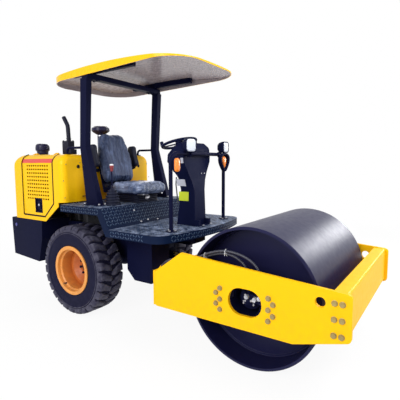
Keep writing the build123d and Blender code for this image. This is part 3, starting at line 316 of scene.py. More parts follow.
settled = sums(worn, "MULTIPLY", sums(worn, "ADD", low_down, lying), ramp(worn, speck, 0.40, 0.72))
film = sums(worn, "MULTIPLY", settled, given["Dust"])
dull = sums(worn, "ADD", given["Roughness"], sums(worn, "MULTIPLY", film, 0.4))
worn.links.new(blended(worn, film, sprayed_coat, given["Grime"]), result["Colour"])
worn.links.new(sums(worn, "ADD", dull, ramp(worn, speck, 0.3, 0.7, 0.0, 0.07)), result["Roughness"])
worn.links.new(grain, result["Height"])


def finish(name, colour, roughness=0.4, bump=0.05, surface=worn, **values):
    """A material whose surface group has its own values; bump is its relief in millimetres.
    Names that the group lacks are constants on the shader's own sockets."""
    material = bpy.data.materials.new(name)
    material.use_nodes = True
    tree = material.node_tree
    shader = tree.nodes["Principled BSDF"]
    layer = wire(tree, "Group", node_tree=surface)
    layer.inputs["Colour"].default_value = (*colour, 1)
    layer.inputs["Roughness"].default_value = roughness
    for key, value in values.items():
        key = key.replace("_", " ")
        value = (*value, 1) if key in ("Grime", "Crest", "Specular Tint", "Emission Color") else value
        (layer if key in layer.inputs else shader).inputs[key].default_value = value
    tree.links.new(layer.outputs["Colour"], shader.inputs["Base Color"])
    tree.links.new(layer.outputs["Roughness"], shader.inputs["Roughness"])
    relief = wire(tree, "Bump", {"Distance": bump / 1000, "Height": layer.outputs["Height"]})
    tree.links.new(relief.outputs[0], shader.inputs["Normal"])
    return material


# The guard's pale blue-grey grime patches are partly dust and partly painted glints on the spiral.
guard_rubber = finish(
    "guard_rubber", (0.016, 0.017, 0.034), 0.30, 0.04, Mottle=0.5, Dust=0.35, Dust_Height=1.0,
    Grime=(0.17, 0.17, 0.23), Coat_Weight=0.15, Coat_Roughness=0.20,
)
tie_plastic = finish(
    "tie_plastic", (0.78, 0.79, 0.80), 0.45, 0.02, Mottle=0.2, Dust=0.3, Grime=(0.4, 0.38, 0.36),
)
guard_pitch = 0.012
outer_route = np.array([
    (-0.727, -0.6505, 0.614), (-0.690, -0.6505, 0.662), (-0.600, -0.6505, 0.695),
    (-0.490, -0.6505, 0.715), (-0.393, -0.6505, 0.745), (-0.290, -0.6505, 0.795),
    (-0.165, -0.6490, 0.828), (-0.020, -0.6450, 0.806), (0.065, -0.6400, 0.752),
    (0.096, -0.6320, 0.684), (0.096, -0.6320, 0.5863),
]) + (drum_x, 0, 0)
inner_route = np.array([
    (-0.760, -0.6260, 0.614), (-0.726, -0.6270, 0.656), (-0.657, -0.6280, 0.688),
    (-0.562, -0.6290, 0.703), (-0.465, -0.6290, 0.708), (-0.372, -0.6285, 0.735),
    (-0.290, -0.6280, 0.774), (-0.196, -0.6275, 0.799), (-0.104, -0.6280, 0.790),
    (-0.028, -0.6290, 0.745), (0.012, -0.6320, 0.676), (0.012, -0.6320, 0.5863),
]) + (drum_x, 0, 0)
hose_lines = {}
for name, route, length in (("outer", outer_route, 1.026), ("inner", inner_route, 0.951)):
    line, walked = point_run(route, guard_pitch / 8)
    around = np.arange(14) * 2 * pi / 14
    ridge = np.cos(walked[:, None] * 2 * pi / guard_pitch - around)
    wound = on_circle((9.3 + 0.7 * np.clip(ridge * 1.6, -1, 1))[..., None], around)
    hose = skin(
        "drum_hose_" + name + "_guarded", [drawn(line, wound, (0, 1, 0))], guard_rubber, "hose_rubber",
        "front_frame", replaces=("drum_hose_" + name,), crease=180.0,
    )
    tuple(route[0])
    [tuple(point) for point in line[::8]]
    hose_lines[name] = line

# Each tie is a flat band round both hoses, with its locking head on the outer one.
turn = np.linspace(0, 2 * pi, 33)[:-1]
band = ((-4.0, -0.8), (4.0, -0.8), (4.0, 0.8), (-4.0, 0.8))
ties = []
for along in (-0.332, -0.163):
    high, low = (
        hose_lines[name][np.argmin(abs(hose_lines[name][:, 0] - drum_x - along))] for name in ("outer", "inner")
    )
    apart = (high - low)[None] / 2 * np.sign(np.cos(turn))[:, None]
    loop = (high + low) / 2 + apart + 0.0112 * np.stack([0 * turn, np.sin(turn), np.cos(turn)], -1)
    ties.append(drawn(loop, band, (1, 0, 0), closed=True))
    ties.append(drawn(beside(high, ((0, -11.5, 4), (0, -13.5, -10), (0, -14.5, -30))), band, (1, 0, 0)))
skin("hose_ties", ties, tie_plastic, "canopy_moulding", "front_frame", crease=30.0)


# Front frame: two flame-cut side plates, a folded channel across the front and a box beam
# across the rear, bolted up, primed and sprayed in one thick coat of yellow.
def dress(material, *nodes):
    """CAD nodes whose shape is right take a finished material."""
    for node in nodes:
        frame["nodes"][node].data.materials[0] = material


frame_yellow = finish(
    "frame_yellow", (0.95, 0.505, 0.001), 0.42, 0.06, Mottle=0.06, Dust=0.25, Dust_Height=0.75,
    Grime=(0.42, 0.24, 0.04), Specular_IOR_Level=0.10, Coat_Weight=0.03, Coat_Roughness=0.25,
)
dress(frame_yellow, "side_plate_right", "side_plate_left", "front_beam", "rear_crossmember")


def closed_off(rows, flattened):
    """Rows of a profile that doesn't come back to its start, with its first and last row
    repeated flattened, which closes the form at both ends."""
    rows = np.asarray(rows, float)
    if np.allclose(rows[0], rows[-1]):
        return rows
    return np.concatenate([rows[:1] * flattened, rows, rows[-1:] * flattened])


def turned(profile, steps=24):
    """Lathe form: each (along, radius) of a profile carried once round the x axis, closed on
    the axis unless the profile is a ring."""
    profile = closed_off(profile, (1, 0))
    rim = profile[:, None, 1:] * ngon(steps, 1.0)
    return np.concatenate([np.repeat(profile[:, None, :1], steps, 1), rim], -1)


def rounded(width, height, radius, steps=6):
    """Outline of a rectangle with round corners: four quarter circles, one after another."""
    angle = np.linspace(0, pi / 2, steps)[None] + np.arange(4)[:, None] * pi / 2
    centre = np.array([(1, 1), (-1, 1), (-1, -1), (1, -1)]) * (width / 2 - radius, height / 2 - radius)
    return (centre[:, None] + on_circle(radius, angle)).reshape(-1, 2)


def pad(outline, levels):
    """A closed form along x: at each level (height, share, inset) the outline is shrunk to a
    share about its middle and by an inset at its edge."""
    outline = np.asarray(outline, float)
    height, share, inset = closed_off(levels, (1, 0, 0)).T[..., None, None]
    flat = outline * share * np.maximum(0, 1 - inset / np.linalg.norm(outline, axis=1, keepdims=True))
    return np.concatenate([np.broadcast_to(height, (*flat.shape[:2], 1)), flat], -1)


def plate(width, height, radius, thick, edge):
    """A plate with round corners and its outer edges eased."""
    levels = ((0, 1, edge), (edge, 1, 0), (thick - edge, 1, 0), (thick, 1, edge))
    return pad(rounded(width, height, radius), levels)


def placed(grid, origin, along=(0, 0, 1), up=(0, 0, 1)):
    """The grid turned so that its x lies along a direction and its z nearest up, or forward
    if the two agree, at each origin."""
    x = np.array(along, float) / np.linalg.norm(along)
    up = (1, 0, 0) if abs(np.dot(up, x)) > 0.999 else up
    z = np.array(up, float) - x * np.dot(up, x)
    z /= np.linalg.norm(z)
    axes = np.stack([x, np.cross(z, x), z])
    return (mm * np.asarray(grid) @ axes)[None] + np.reshape(np.array(origin, float), (-1, 1, 1, 3))


# Bolts of the side plates: six at each end of the front beam and ten round the drum motor
# and its bearing, hexagon heads of zinc-yellow steel, each on a washer.
zinc_yellow = finish(
    "zinc_yellow", (0.42, 0.32, 0.12), 0.36, 0.03, Mottle=0.9, Dust=0.4, Grime=(0.12, 0.09, 0.06), Metallic=0.6,
)
bolt_flats = 30.0
bolt_head = pad(ngon(6, bolt_flats / 2 / cos(pi / 6)), ((1.5, 1, 0), (13, 1, 0), (15, 1, 2.2), (14.2, 0.62, 0)))
washer = turned(((0, 18.5), (2.6, 18.5), (3.2, 17.5)), 20)
beam_bolts = [(x, 0, z) for x in (589, 634) for z in (625, 528, 431)]
motor_bolts = [
    (side * x, 0, z)
    for side in (-1, 1) for x, z in ((180, 568), (180, 491), (180, 417), (212, 532), (212, 455))
]
for side, hand in ((-1, "right"), (1, "left")):
    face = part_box("side_plate_" + hand)
    spots = beside((drum_x, face[0].y if side < 0 else face[1].y, 0), beam_bolts + motor_bolts)
    heads = [
        placed(bolt_head, spot, (0, side, 0), (sin(k * 2.4), 0, cos(k * 2.4))) for k, spot in enumerate(spots)
    ]
    heads.append(placed(washer, spots, (0, side, 0)))
    skin("plate_bolts_" + hand, heads, zinc_yellow, "rod_chrome", "front_frame")

# Pin of the centre joint: held from turning by a flat steel keeper plate, with two bolts, on
# the upper clevis plate.
pin_top = (*joints["articulation"]["pos_m"][:2], 0.551)
keeper = placed(plate(112, 40, 12, 8, 1), beside(pin_top, (-30, 0, -15)))
keeper_bolts = placed(bolt_head * 0.7, beside(pin_top, ((-76, 0, -7), (-50, 0, -7))))
skin("pin_keeper", [keeper, keeper_bolts], zinc_yellow, "rod_chrome")

# Drum: a rolled and welded shell 20 mm thick, turned true, with a dished-in head at each
# end, in a dark slate coat. A weld bead runs round each head, and another on a stiffening ring.
# Its blue specular tint is a painted blue cast on the drum's reflections.
shell_slate = finish(
    "shell_slate", (0.008, 0.008, 0.040), 0.36, 0.05, Mottle=0.25, Dust=0.08, Dust_Height=0.5,
    Grime=(0.04, 0.04, 0.09), Grain=90.0, Specular_IOR_Level=0.25, Specular_Tint=(0.76, 0.78, 1.0),
)
dress(shell_slate, "drum")
# Its blue specular tint is a painted blue cast on its reflections.
chassis_black = finish(
    "chassis_black", (0.005, 0.006, 0.026), 0.42, 0.08, Mottle=0.4, Dust=0.16, Dust_Height=0.6,
    Grime=(0.026, 0.028, 0.062), Specular_IOR_Level=0.04, Specular_Tint=(0.76, 0.80, 1.0),
)
dress(chassis_black, "drum_carrier_right", "drum_carrier_left", "drum_motor", "drum_bearing")


def hoop(sides, radius, out):
    """A ring's profile: a small circle so far out from the axis, back to its start."""
    return on_circle(radius, np.arange(sides + 1) * 2 * pi / sides) + (0, out)


weld_radius = 4.0
head_y = (drum_high.y - drum_low.y) / 2 - 0.192
drum_mid = np.array((drum_x, 0, (drum_low.z + drum_high.z) / 2))
welds = [
    placed(turned(hoop(8, weld_radius, out), 140), drum_mid + (0, side * head_y, 0), (0, side, 0))
    for side in (-1, 1) for out in (477.5, 462.0, 86.0)
]
skin("drum_weld_beads", welds, shell_slate, "drum_steel", "drum")

# Drum motor's fittings, seen through the slot: zinc adaptors and a drain elbow on the motor,
# and socket screws round its cover.
bright_zinc = finish(
    "bright_zinc", (0.60, 0.60, 0.63), 0.28, 0.02, Mottle=0.8, Dust=0.3, Grime=(0.10, 0.09, 0.09),
    Metallic=0.85,
)
adaptor = turned(((0, 17), (10, 17), (10, 12), (16, 12), (16, 15.5), (26, 15.5), (26, 10), (31, 9)), 6)
screw = turned(((0, 6.5), (7, 6.5), (8, 5.5), (8, 3), (4, 3)), 12)
ports = [(12, -654, 536), (72, -654, 530), (104, -654, 541)]
cover_screws = [(x, -654, z) for x in (-4, 112) for z in (503, 545)]
carrier_screws = [(x, -609.7, z) for x in (-38, 38) for z in (466, 480)]
fittings = [
    placed(form, beside((drum_x, 0, 0), steps), (0, -1, 0))
    for form, steps in ((adaptor, ports), (screw, cover_screws), (screw, carrier_screws))
]
elbow = ((45, -654, 512), (45, -668, 512), (48, -674, 517), (60, -676, 520), (80, -676, 516))
fittings.append(drawn(beside((drum_x, 0, 0), elbow), ngon(12, 8.5)))
skin("drum_motor_fittings", fittings, bright_zinc, "rod_chrome", "front_frame")

# Rear frame: plate rails and cross-members, the axle under them, the cast counterweight and
# its towing tongue, welded or cast, and sprayed in one coat of near-black.
dress(
    chassis_black, "rear_frame", "rear_axle", "counterweight", "tow_tongue", "fuel_tank", "battery_box",
    "steering_valve", "steer_barrel",
)
rod_chrome = finish("rod_chrome", (0.62, 0.63, 0.66), 0.10, 0.01, Mottle=0.3, Dust=0.15, Metallic=1.0)
dress(rod_chrome, "steer_rod")

# Small parts of the chassis: the axle's cover with its nuts, the tank's filler cap, the
# battery box's lid, and round plugs in the counterweight.
weight_low, weight_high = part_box("counterweight")
tank_low, tank_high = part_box("fuel_tank")
battery_low, battery_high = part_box("battery_box")
tyre_low, tyre_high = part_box("tyre_right")
axle_x, axle_z = (tyre_low.x + tyre_high.x) / 2, (tyre_low.z + tyre_high.z) / 2
nut = pad(ngon(6, 15.0), ((0, 1, 0), (12, 1, 0), (14, 1, 2)))
cover = turned(((0, 62), (6, 62), (10, 58), (18, 40), (20, 0)), 40)
cover = placed(cover, (axle_x - 0.094, 0, axle_z), (-1, 0, 0))
cover_nuts = placed(nut * 0.55, beside((axle_x, 0, axle_z), [(-96, *at) for at in ngon(8, 52.0)]), (-1, 0, 0))
skin("axle_cover", [cover, cover_nuts], chassis_black, "black_paint")
filler = turned(((0, 34), (16, 34), (20, 30), (20, 12), (30, 10)), 28)
filler = placed(filler, (tank_low.x + 0.060, tank_low.y, tank_high.z - 0.110), (0, -1, 0))
lid_at = ((battery_low.x + battery_high.x) / 2, battery_high.y, battery_low.z + 0.125)
lid = placed(plate(240, 190, 18, 6, 1.5), lid_at, (0, 1, 0))
skin("tank_cap_and_lid", [filler, lid], chassis_black, "black_paint")
plug_blue = finish("plug_blue", (0.060, 0.060, 0.260), 0.35, 0.02, Mottle=0.3, Dust=0.2)
plug = turned(((0, 18), (3, 18), (5, 14), (5.5, 0)), 28)
plugs = [placed(plug, (weight_low.x + 0.080, side * weight_high.y, 0.760), (0, side, 0)) for side in (-1, 1)]
skin("counterweight_plugs", plugs, plug_blue, "amber_lens")

# Rear tyres: cross-ply traction tyres of carbon-black rubber on a steel cord carcass, moulded
# with two rows of hooked lugs, half a pitch apart, that run over the shoulders.
tyre_black = finish(
    "tyre_black", (0.008, 0.008, 0.026), 0.62, 0.35, Mottle=0.35, Dust=0.25, Dust_Height=1.5,
    Grime=(0.044, 0.042, 0.078), Grain=420.0, Specular_IOR_Level=0.08,
)
lug_count = 27
half_section = np.array([
    (98, 208.5), (112.5, 209), (124, 221), (133.5, 245), (138.5, 272), (139.5, 295), (138, 320), (136.5, 336),
    (138.5, 342), (139, 350), (136, 356), (133.5, 370), (128, 386), (117, 396), (95, 401), (50, 403), (0, 404),
])
carcass = turned(np.concatenate([half_section, half_section[-2::-1] * (-1, 1), half_section[:1]]), 150)

# A lug: stations from the sidewall to past the middle of the tread, each with its place
# across the tyre, radius, height, width, how far the hook has carried it round, and lean.
stations = np.array([
    (136, 374, 1, 70, 0, 0.95), (134.5, 379, 5, 72, 0, 0.90), (132.5, 385, 10, 73, 0, 0.70),
    (128, 392, 16, 73, 0, 0.45), (120, 398.5, 20, 71, 1, 0.25), (105, 402, 21, 68, 2, 0.10),
    (86, 403, 21, 62, 6, 0.03), (76, 403, 21, 58, 14, 0), (56, 403.5, 21, 54, 18, 0),
    (44, 404, 21, 50, 28, 0), (20, 404, 20.5, 46, 34, 0), (0, 404, 10, 40, 38, 0),
])
block = np.array([
    (-0.56, -0.1), (-0.52, 0.60), (-0.47, 0.93), (-0.40, 1.0),
    (0.40, 1.0), (0.47, 0.93), (0.52, 0.60), (0.56, -0.1),
])
tread_radius = 410.0


def lugs(side, start):
    """Every lug of one row: each station's block is set up on the carcass along the leaning
    normal, then carried round the axle by its hook and its place in the row."""
    across, radius, height, width, hook, lean = stations.T[..., None]
    up = height * block[:, 1]
    angle = (hook + width * block[:, 0]) / tread_radius + start
    grid = np.stack([side * (across + up * lean), radius + up * np.sqrt(1 - lean**2), angle], -1)
    grid = capped(grid, grid.mean(1))
    angle = grid[..., 2] + (np.arange(lug_count) * 2 * pi / lug_count)[:, None, None]
    across, radius = grid[..., 0], grid[..., 1]
    return np.stack(np.broadcast_arrays(across, radius * np.cos(angle), radius * np.sin(angle)), -1)


# The lugs' tops and two rings at the shoulder are scuffed grey by the road.
tread_worn = finish(
    "tread_worn", (0.033, 0.031, 0.058), 0.50, 0.30, Mottle=0.8, Dust=0.60, Dust_Height=1.5,
    Grime=(0.170, 0.165, 0.215), Grain=320.0, Specular_IOR_Level=0.18,
)
inner_ridge = ((137, 349.5), (141, 350.5), (141.8, 353), (141, 355.5), (134, 356.5), (137, 349.5))
outer_ridge = ((134, 363), (137.5, 365), (139.2, 369), (138.8, 375), (135.5, 382), (129, 385), (134, 363))
tread = [lugs(1, 0.0), lugs(-1, pi / lug_count)]
tread += [turned(np.multiply(ridge, (end, 1)), 150) for end in (-1, 1) for ridge in (inner_ridge, outer_ridge)]
for hand, side in (("right", -1), ("left", 1)):
    low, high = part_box("tyre_" + hand)
    middle = (axle_x, (low.y + high.y) / 2, axle_z)
    skin(
        "tyre_" + hand + "_carcass", [placed(carcass, middle, (0, 1, 0))], tyre_black, "tyre_rubber",
        "wheel_" + hand, replaces=("tyre_" + hand,), crease=32.0,
    )
    forms = [placed(form, middle, (0, 1, 0)) for form in tread]
    skin("tyre_" + hand + "_lugs", forms, tread_worn, "tyre_rubber", "wheel_" + hand, crease=32.0)


# Rims: pressed steel with a deep dish, in a thick orange coat darkened to brown in the dish by
# painted shade, each on eight studs with domed nuts, a hub cap and a rubber valve through the flange.
def repaint(material, shade):
    """The material's colour passed through shade, which is given the tree, its texture
    coordinates and the colour."""
    tree = material.node_tree
    base = tree.nodes["Principled BSDF"].inputs["Base Color"]
    tree.links.new(shade(tree, wire(tree, "TexCoord").outputs, base.links[0].from_socket), base)


def axis_of(tree, place, letter, from_middle=False):
    """One coordinate of a place, or its distance from the middle plane."""
    value = wire(tree, "SeparateXYZ", {0: place["Object"]}).outputs[letter]
    return wire(tree, "Math", {0: value}, operation="ABSOLUTE").outputs[0] if from_middle else value


rim_orange = finish(
    "rim_orange", (0.84, 0.340, 0.065), 0.40, 0.06, Mottle=0.35, Dust=0.45, Dust_Height=0.9,
    Grime=(0.30, 0.13, 0.06), Specular_IOR_Level=0.35, Coat_Weight=0.1, Coat_Roughness=0.25,
)
# Painted shade in the dish: the orange multiplied towards brown inboard of 0.70 m from the middle plane, most
# inboard of 0.54 m.
repaint(rim_orange, lambda tree, place, coat: blended(
    tree, ramp(tree, axis_of(tree, place, "Y", True), 0.540, 0.700, 0.85, 0.0),
    coat, (0.50, 0.20, 0.12, 1), "MULTIPLY",
))
dress(rim_orange, "rim_right", "rim_left")
hub_cap = turned(((0, 52), (10, 52), (16, 47), (19, 20), (19.5, 0)), 36)
wheel_nut = pad(ngon(6, 12.5), ((0, 1, 0), (10, 1, 0), (14, 0.86, 0), (18, 0.5, 0), (19, 0, 0)))
swell = np.array([8.5, 7.0, 5.0, 5.0])[:, None, None]
for hand, side in (("right", -1), ("left", 1)):
    seats = beside((axle_x, side * 0.5205, axle_z), [(x, 0, z) for x, z in ngon(8, 81.0, 0.2)])
    hub = (axle_x, side * 0.519, axle_z)
    metal = [placed(wheel_nut, seats, (0, side, 0)), placed(hub_cap, hub, (0, side, 0))]
    skin("wheel_nuts_" + hand, metal, chassis_black, "black_paint", "wheel_" + hand)
    stem = [(0, side * y, z) for y, z in ((0, 0), (12, 1), (24, 4), (34, 9))]
    stem = drawn(beside((axle_x - 0.118, side * 0.668, axle_z - 0.150), stem), ngon(12, 1.0) * swell, (1, 0, 0))
    skin("wheel_valve_" + hand, [stem], guard_rubber, "black_rubber", "wheel_" + hand)

# Platform: chequer plate 6 mm thick, folded into deck, riser, footwell floor and skirt, and
# sprayed black. Its lozenges are rolled into the sheet, turned left and right by turns.
# Its pale blue-white grime colour, laid in patches, is partly dust and partly painted sheen.
deck_black = finish(
    "deck_black", (0.004, 0.010, 0.034), 0.36, 0.10, Mottle=0.4, Dust=0.95, Dust_Height=0.0,
    Grime=(0.58, 0.68, 0.98), Specular_IOR_Level=0.06,
)
dress(deck_black, "platform")
pitch = 0.030
lozenge = mm * np.array([
    [(share * 15.0 * x, share * 4.8 * y, height) for x, y in ngon(8, 1.0)]
    for share, height in ((1, -0.5), (0.72, 1.7), (0, 2.0))
])


def chequer(low, high, at, keep=lambda u, v: u == u):
    """Lozenges in rows a pitch apart from low to high, each leaning one way or the other by
    turns. For places u along and v across, at gives the point and the directions along,
    across and outward; keep says which places are on the sheet."""
    u, v = np.meshgrid(np.arange(low[0], high[0], pitch), np.arange(low[1], high[1], pitch), indexing="ij")
    lean = (np.indices(u.shape).sum(0) % 2 - 0.5) * pi / 2
    chosen = keep(u, v)
    u, v, lean = (part[chosen][:, None, None] for part in (u, v, lean))
    flat_a = lozenge[..., 0] * np.cos(lean) - lozenge[..., 1] * np.sin(lean)
    flat_b = lozenge[..., 0] * np.sin(lean) + lozenge[..., 1] * np.cos(lean)
    point, along, across, outward = at(u[..., None], v[..., None])
    return point + flat_a[..., None] * along + flat_b[..., None] * across + lozenge[..., 2:] * outward


def sheet_at(corner, along, across):
    """A flat sheet's point and directions: u runs along, v across, outward is square to both."""
    corner, along, across = (np.array(part, float) for part in (corner, along, across))
    along /= np.linalg.norm(along)
    outward = np.cross(along, across)
    return lambda u, v: (corner + u * along + v * across, along, across, outward)


deck_low, deck_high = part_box("platform")
half_wide = deck_high.y
deck_top, floor_top = deck_high.z, deck_low.z + 0.066
riser_top, riser_foot = drum_x - 1.430, drum_x - 1.330
bow = 1.930
bow_x = deck_high.x - bow
margin = 0.018
corner_from = half_wide - 0.13
span = half_wide - margin
slope = np.array((riser_foot - riser_top, 0, floor_top - deck_top))
slope_length = float(np.linalg.norm(slope))


def on_floor(u, v):
    """Inside the bowed front edge, and inside the round corners at the sides."""
    past = np.maximum(abs(v) - corner_from, 0)
    in_corner = np.maximum(u - 0.22, 0) ** 2 + past**2 < 0.115**2
    return (np.hypot(u - bow_x, v) < bow - margin) & ((abs(v) < corner_from) | in_corner)


def bowed(u, v):
    """The skirt's front: u runs round the bow's circle and v rises from the floor."""
    east, north = np.cos(u / bow), np.sin(u / bow)
    point = np.concatenate([bow_x + bow * east, bow * north, floor_top + v], -1)
    outward = np.concatenate([east, north, 0 * u], -1)
    return point, np.concatenate([-north, east, 0 * u], -1), np.array((0, 0, 1.0)), outward


deck_sheet, floor_sheet = (sheet_at((0, 0, top), (1, 0, 0), (0, 1, 0)) for top in (deck_top, floor_top))
relief = [
    chequer((deck_low.x + margin, -span), (riser_top - 0.012, span), deck_sheet),
    chequer((riser_foot + 0.014, -span), (deck_high.x, span), floor_sheet, on_floor),
    chequer((0.016, -span), (slope_length - 0.010, span), sheet_at((riser_top, 0, deck_top), slope, (0, 1, 0))),
    chequer((-0.535, -0.049), (0.54, -0.010), bowed),
]
for side in (-1, 1):
    wall = sheet_at((0, side * half_wide, 0), (-side, 0, 0), (0, 0, 1))
    floor_run = (riser_foot + 0.03, 0.21, floor_top)
    deck_run = (deck_low.x + margin, riser_top - 0.03, deck_top)
    for start, end, top in (floor_run, deck_run):
        ends = sorted((-side * start, -side * end))
        relief.append(chequer((ends[0], top - 0.049), (ends[1], top - 0.010), wall))
# The lozenges' pale blue-white patches are paint worn off their tops and painted glints.
chequer_wear_and_glints = finish(
    "chequer_wear_and_glints", (0.036, 0.066, 0.125), 0.30, 0.05, Mottle=0.9, Dust=1.0, Dust_Height=0.0,
    Grime=(0.82, 0.90, 1.00), Specular_IOR_Level=0.30,
)
skin("chequer_lozenges", relief, chequer_wear_and_glints, "black_paint", crease=30.0)

# Fixings of the platform: four dome-headed bolts of bright zinc steel, screwed through the
# riser's sheet.
riser_out = np.cross(slope / slope_length, (0, 1, 0))
dome = turned(((0, 9), (2, 9), (5, 7), (6.5, 3.5), (6.7, 0)), 20)
riser_places = ((-0.270, 0.30), (-0.235, 0.90), (-0.137, 0.86), (0.000, 0.92))
riser_spots = [np.array((riser_top, y, deck_top)) + slope * down for y, down in riser_places]
skin("riser_bolts", [placed(dome, riser_spots, riser_out)], bright_zinc, "rod_chrome")

# Roll-over posts: plate box sections, welded to the beam under the deck through a foot
# flange with four bolts, and stayed to the hood by a bent tube each side.
dress(chassis_black, "rops_post_right", "rops_post_left", "rops_crossbar", "canopy_rails", "post_stays")
post_feet = [(drum_x - 1.681, side * 0.500, deck_top) for side in (-1, 1)]
flange = plate(105, 230, 14, 10, 1.5)
flanges = [placed(flange, beside(foot, (0, 0, 0.3))) for foot in post_feet]
corners = [(x, y, 9.5) for x in (-100, 100) for y in (-37, 37)]
skin("post_flanges", flanges, chassis_black, "black_paint")
heads = [placed(bolt_head * 0.72, beside(foot, corners)) for foot in post_feet]
skin("post_flange_bolts", heads, bright_zinc, "rod_chrome")

# Canopy: a vacuum-formed dome of double sheet, yellow and glossy outside, pale grey within,
# bolted through its rails to two saddles on the crossbar.
canopy_low, canopy_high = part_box("canopy")
canopy_shell = finish(
    "canopy_shell", (0.93, 0.500, 0.004), 0.24, 0.05, Mottle=0.08, Dust=0.10, Dust_Height=0.1,
    Grime=(0.45, 0.33, 0.16), Specular_IOR_Level=0.20, Coat_Weight=0.08, Coat_Roughness=0.25, Grain=60.0,
)
canopy_heart = (*((canopy_low + canopy_high) / 2)[:2], canopy_low.z + 0.075)


def lined(tree, place, coat):
    """The coat where the surface faces away from the canopy's heart, the clouded liner where
    it faces it: the sign of the dot product of the normal and the way from the heart."""
    away = wire(tree, "VectorMath", {0: place["Object"], 1: canopy_heart}, operation="SUBTRACT").outputs[0]
    away = wire(tree, "VectorMath", {0: away, 1: (1, 1, 0.25)}, operation="MULTIPLY").outputs[0]
    faced = wire(tree, "VectorMath", {0: away, 1: place["Normal"]}, operation="DOT_PRODUCT").outputs["Value"]
    outside = wire(tree, "Math", {0: faced, 1: 0.0}, operation="GREATER_THAN").outputs[0]
    cloud = ramp(tree, noise(tree, place["Object"], 3.0), 0.3, 0.7)
    liner = blended(tree, cloud, (0.350, 0.290, 0.300, 1), (0.390, 0.335, 0.345, 1))
    return blended(tree, outside, liner, coat)


repaint(canopy_shell, lined)
dress(canopy_shell, "canopy")
crossbar_low, crossbar_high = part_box("rops_crossbar")
bar_under = ((crossbar_low.x + crossbar_high.x) / 2, 0, crossbar_low.z)
saddles = placed(plate(120, 75, 10, 6, 1), beside(bar_under, ((0, -420, -6.5), (0, 420, -6.5))))
saddle_steps = [(x, y, -6) for x in (-20, 20) for y in (-450, -390, 390, 450)]
saddle_bolts = placed(bolt_head * 0.55, beside(bar_under, saddle_steps), (0, 0, -1))
skin("canopy_saddles", [saddles, saddle_bolts], chassis_black, "black_paint")

# Hood: a moulded glass-fibre shell in yellow gel coat, with a steel-framed door in each side:
# a red stripe along its top, a rubber seal behind its seam, and a key latch in a recess.
hood_yellow = finish(
    "hood_yellow", (0.93, 0.520, 0.002), 0.34, 0.05, Mottle=0.10, Dust=0.15, Dust_Height=0.9,
    Grime=(0.42, 0.26, 0.06), Specular_IOR_Level=0.12, Coat_Weight=0.08, Coat_Roughness=0.15, Grain=40.0,
)
dress(hood_yellow, "hood", "hood_door_right", "hood_door_left")
seal_rubber = finish(
    "seal_rubber", (0.006, 0.006, 0.009), 0.75, 0.05, Mottle=0.3, Dust=0.1, Specular_IOR_Level=0.15,
)
stripe_red = finish("stripe_red", (0.68, 0.045, 0.030), 0.30, 0.02, Mottle=0.15, Dust=0.15, Coat_Weight=0.3)
foam_brown = finish(
    "foam_brown", (0.016, 0.009, 0.007), 0.95, 0.6, Mottle=0.8, Dust=0.1, Grain=700.0, Specular_IOR_Level=0.1,
)
key_steel = finish("key_steel", (0.55, 0.56, 0.60), 0.25, 0.02, Mottle=0.5, Dust=0.2, Metallic=0.8)
hood_low, hood_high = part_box("hood")


def painted_shade_behind_seat(tree, place, coat):
    """Painted shade on the front wall behind the seat: the paint darkened to brown, fading upward and to both
    sides.
    """
    front = ramp(tree, axis_of(tree, place, "X"), hood_high.x - 0.02, hood_high.x - 0.002)
    low_part = sums(tree, "MULTIPLY", front, ramp(tree, axis_of(tree, place, "Z"), 1.16, 1.42, 1.0, 0.0))
    middle_part = ramp(tree, axis_of(tree, place, "Y", True), 0.34, 0.47, 0.8, 0.0)
    return blended(tree, sums(tree, "MULTIPLY", low_part, middle_part), coat, (0.40, 0.24, 0.20, 1), "MULTIPLY")


# The hood's paint takes painted shade on its front wall behind the seat.
repaint(hood_yellow, painted_shade_behind_seat)
door_low, door_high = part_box("hood_door_right")
door_rear, door_front = door_low.x, door_high.x
hood_side = hood_high.y
shoulder_r = 0.100
shoulder = (hood_side - shoulder_r, door_high.z - 0.116)
hood_top = shoulder[1] + shoulder_r
bead = ((-8.5, -2.0), (8.5, -2.0), (8.5, 0.8), (5.0, 2.2), (-5.0, 2.2), (-8.5, 0.8))
rise, bend = np.radians(np.linspace(8.2, 33.2, 12)), np.radians(np.linspace(0, 80, 12))
band = np.concatenate([on_circle(0.1011, rise), on_circle(0.0995, rise[::-1])]) + shoulder
over = on_circle(0.1003, bend) + shoulder
seam = [(x, over[0, 0], z) for x, z in ((door_rear, 0.888), (door_front - 0.151, 0.888), (door_front, 1.029))]
front_seam = seam + [(door_front, *point) for point in over]
rear_seam = [(door_rear, *point) for point in over[::-1]] + seam[:1]
recess, paddle, foam = plate(107.5, 131.5, 3, 12, 0.3), plate(50, 88, 8, 20, 1.2), plate(410, 420, 20, 12, 3)
wall = pad(rounded(107.8, 131.8, 3), ((-22, 1, 0), (0.6, 1, 0), (0.6, 1, 3), (-22, 1, 3), (-22, 1, 0)))
lip = [(plate(12, 146, 4, 1.6, 0.5), x, 0, 0) for x in (-57, 57)]
lip += [(plate(122, 12, 4, 1.6, 0.5), 0, 0, z) for z in (69, -69)]
lock = turned(((0, 12.5), (4, 12.5), (5.5, 10.5), (5.5, 4), (4, 3.5)), 24)
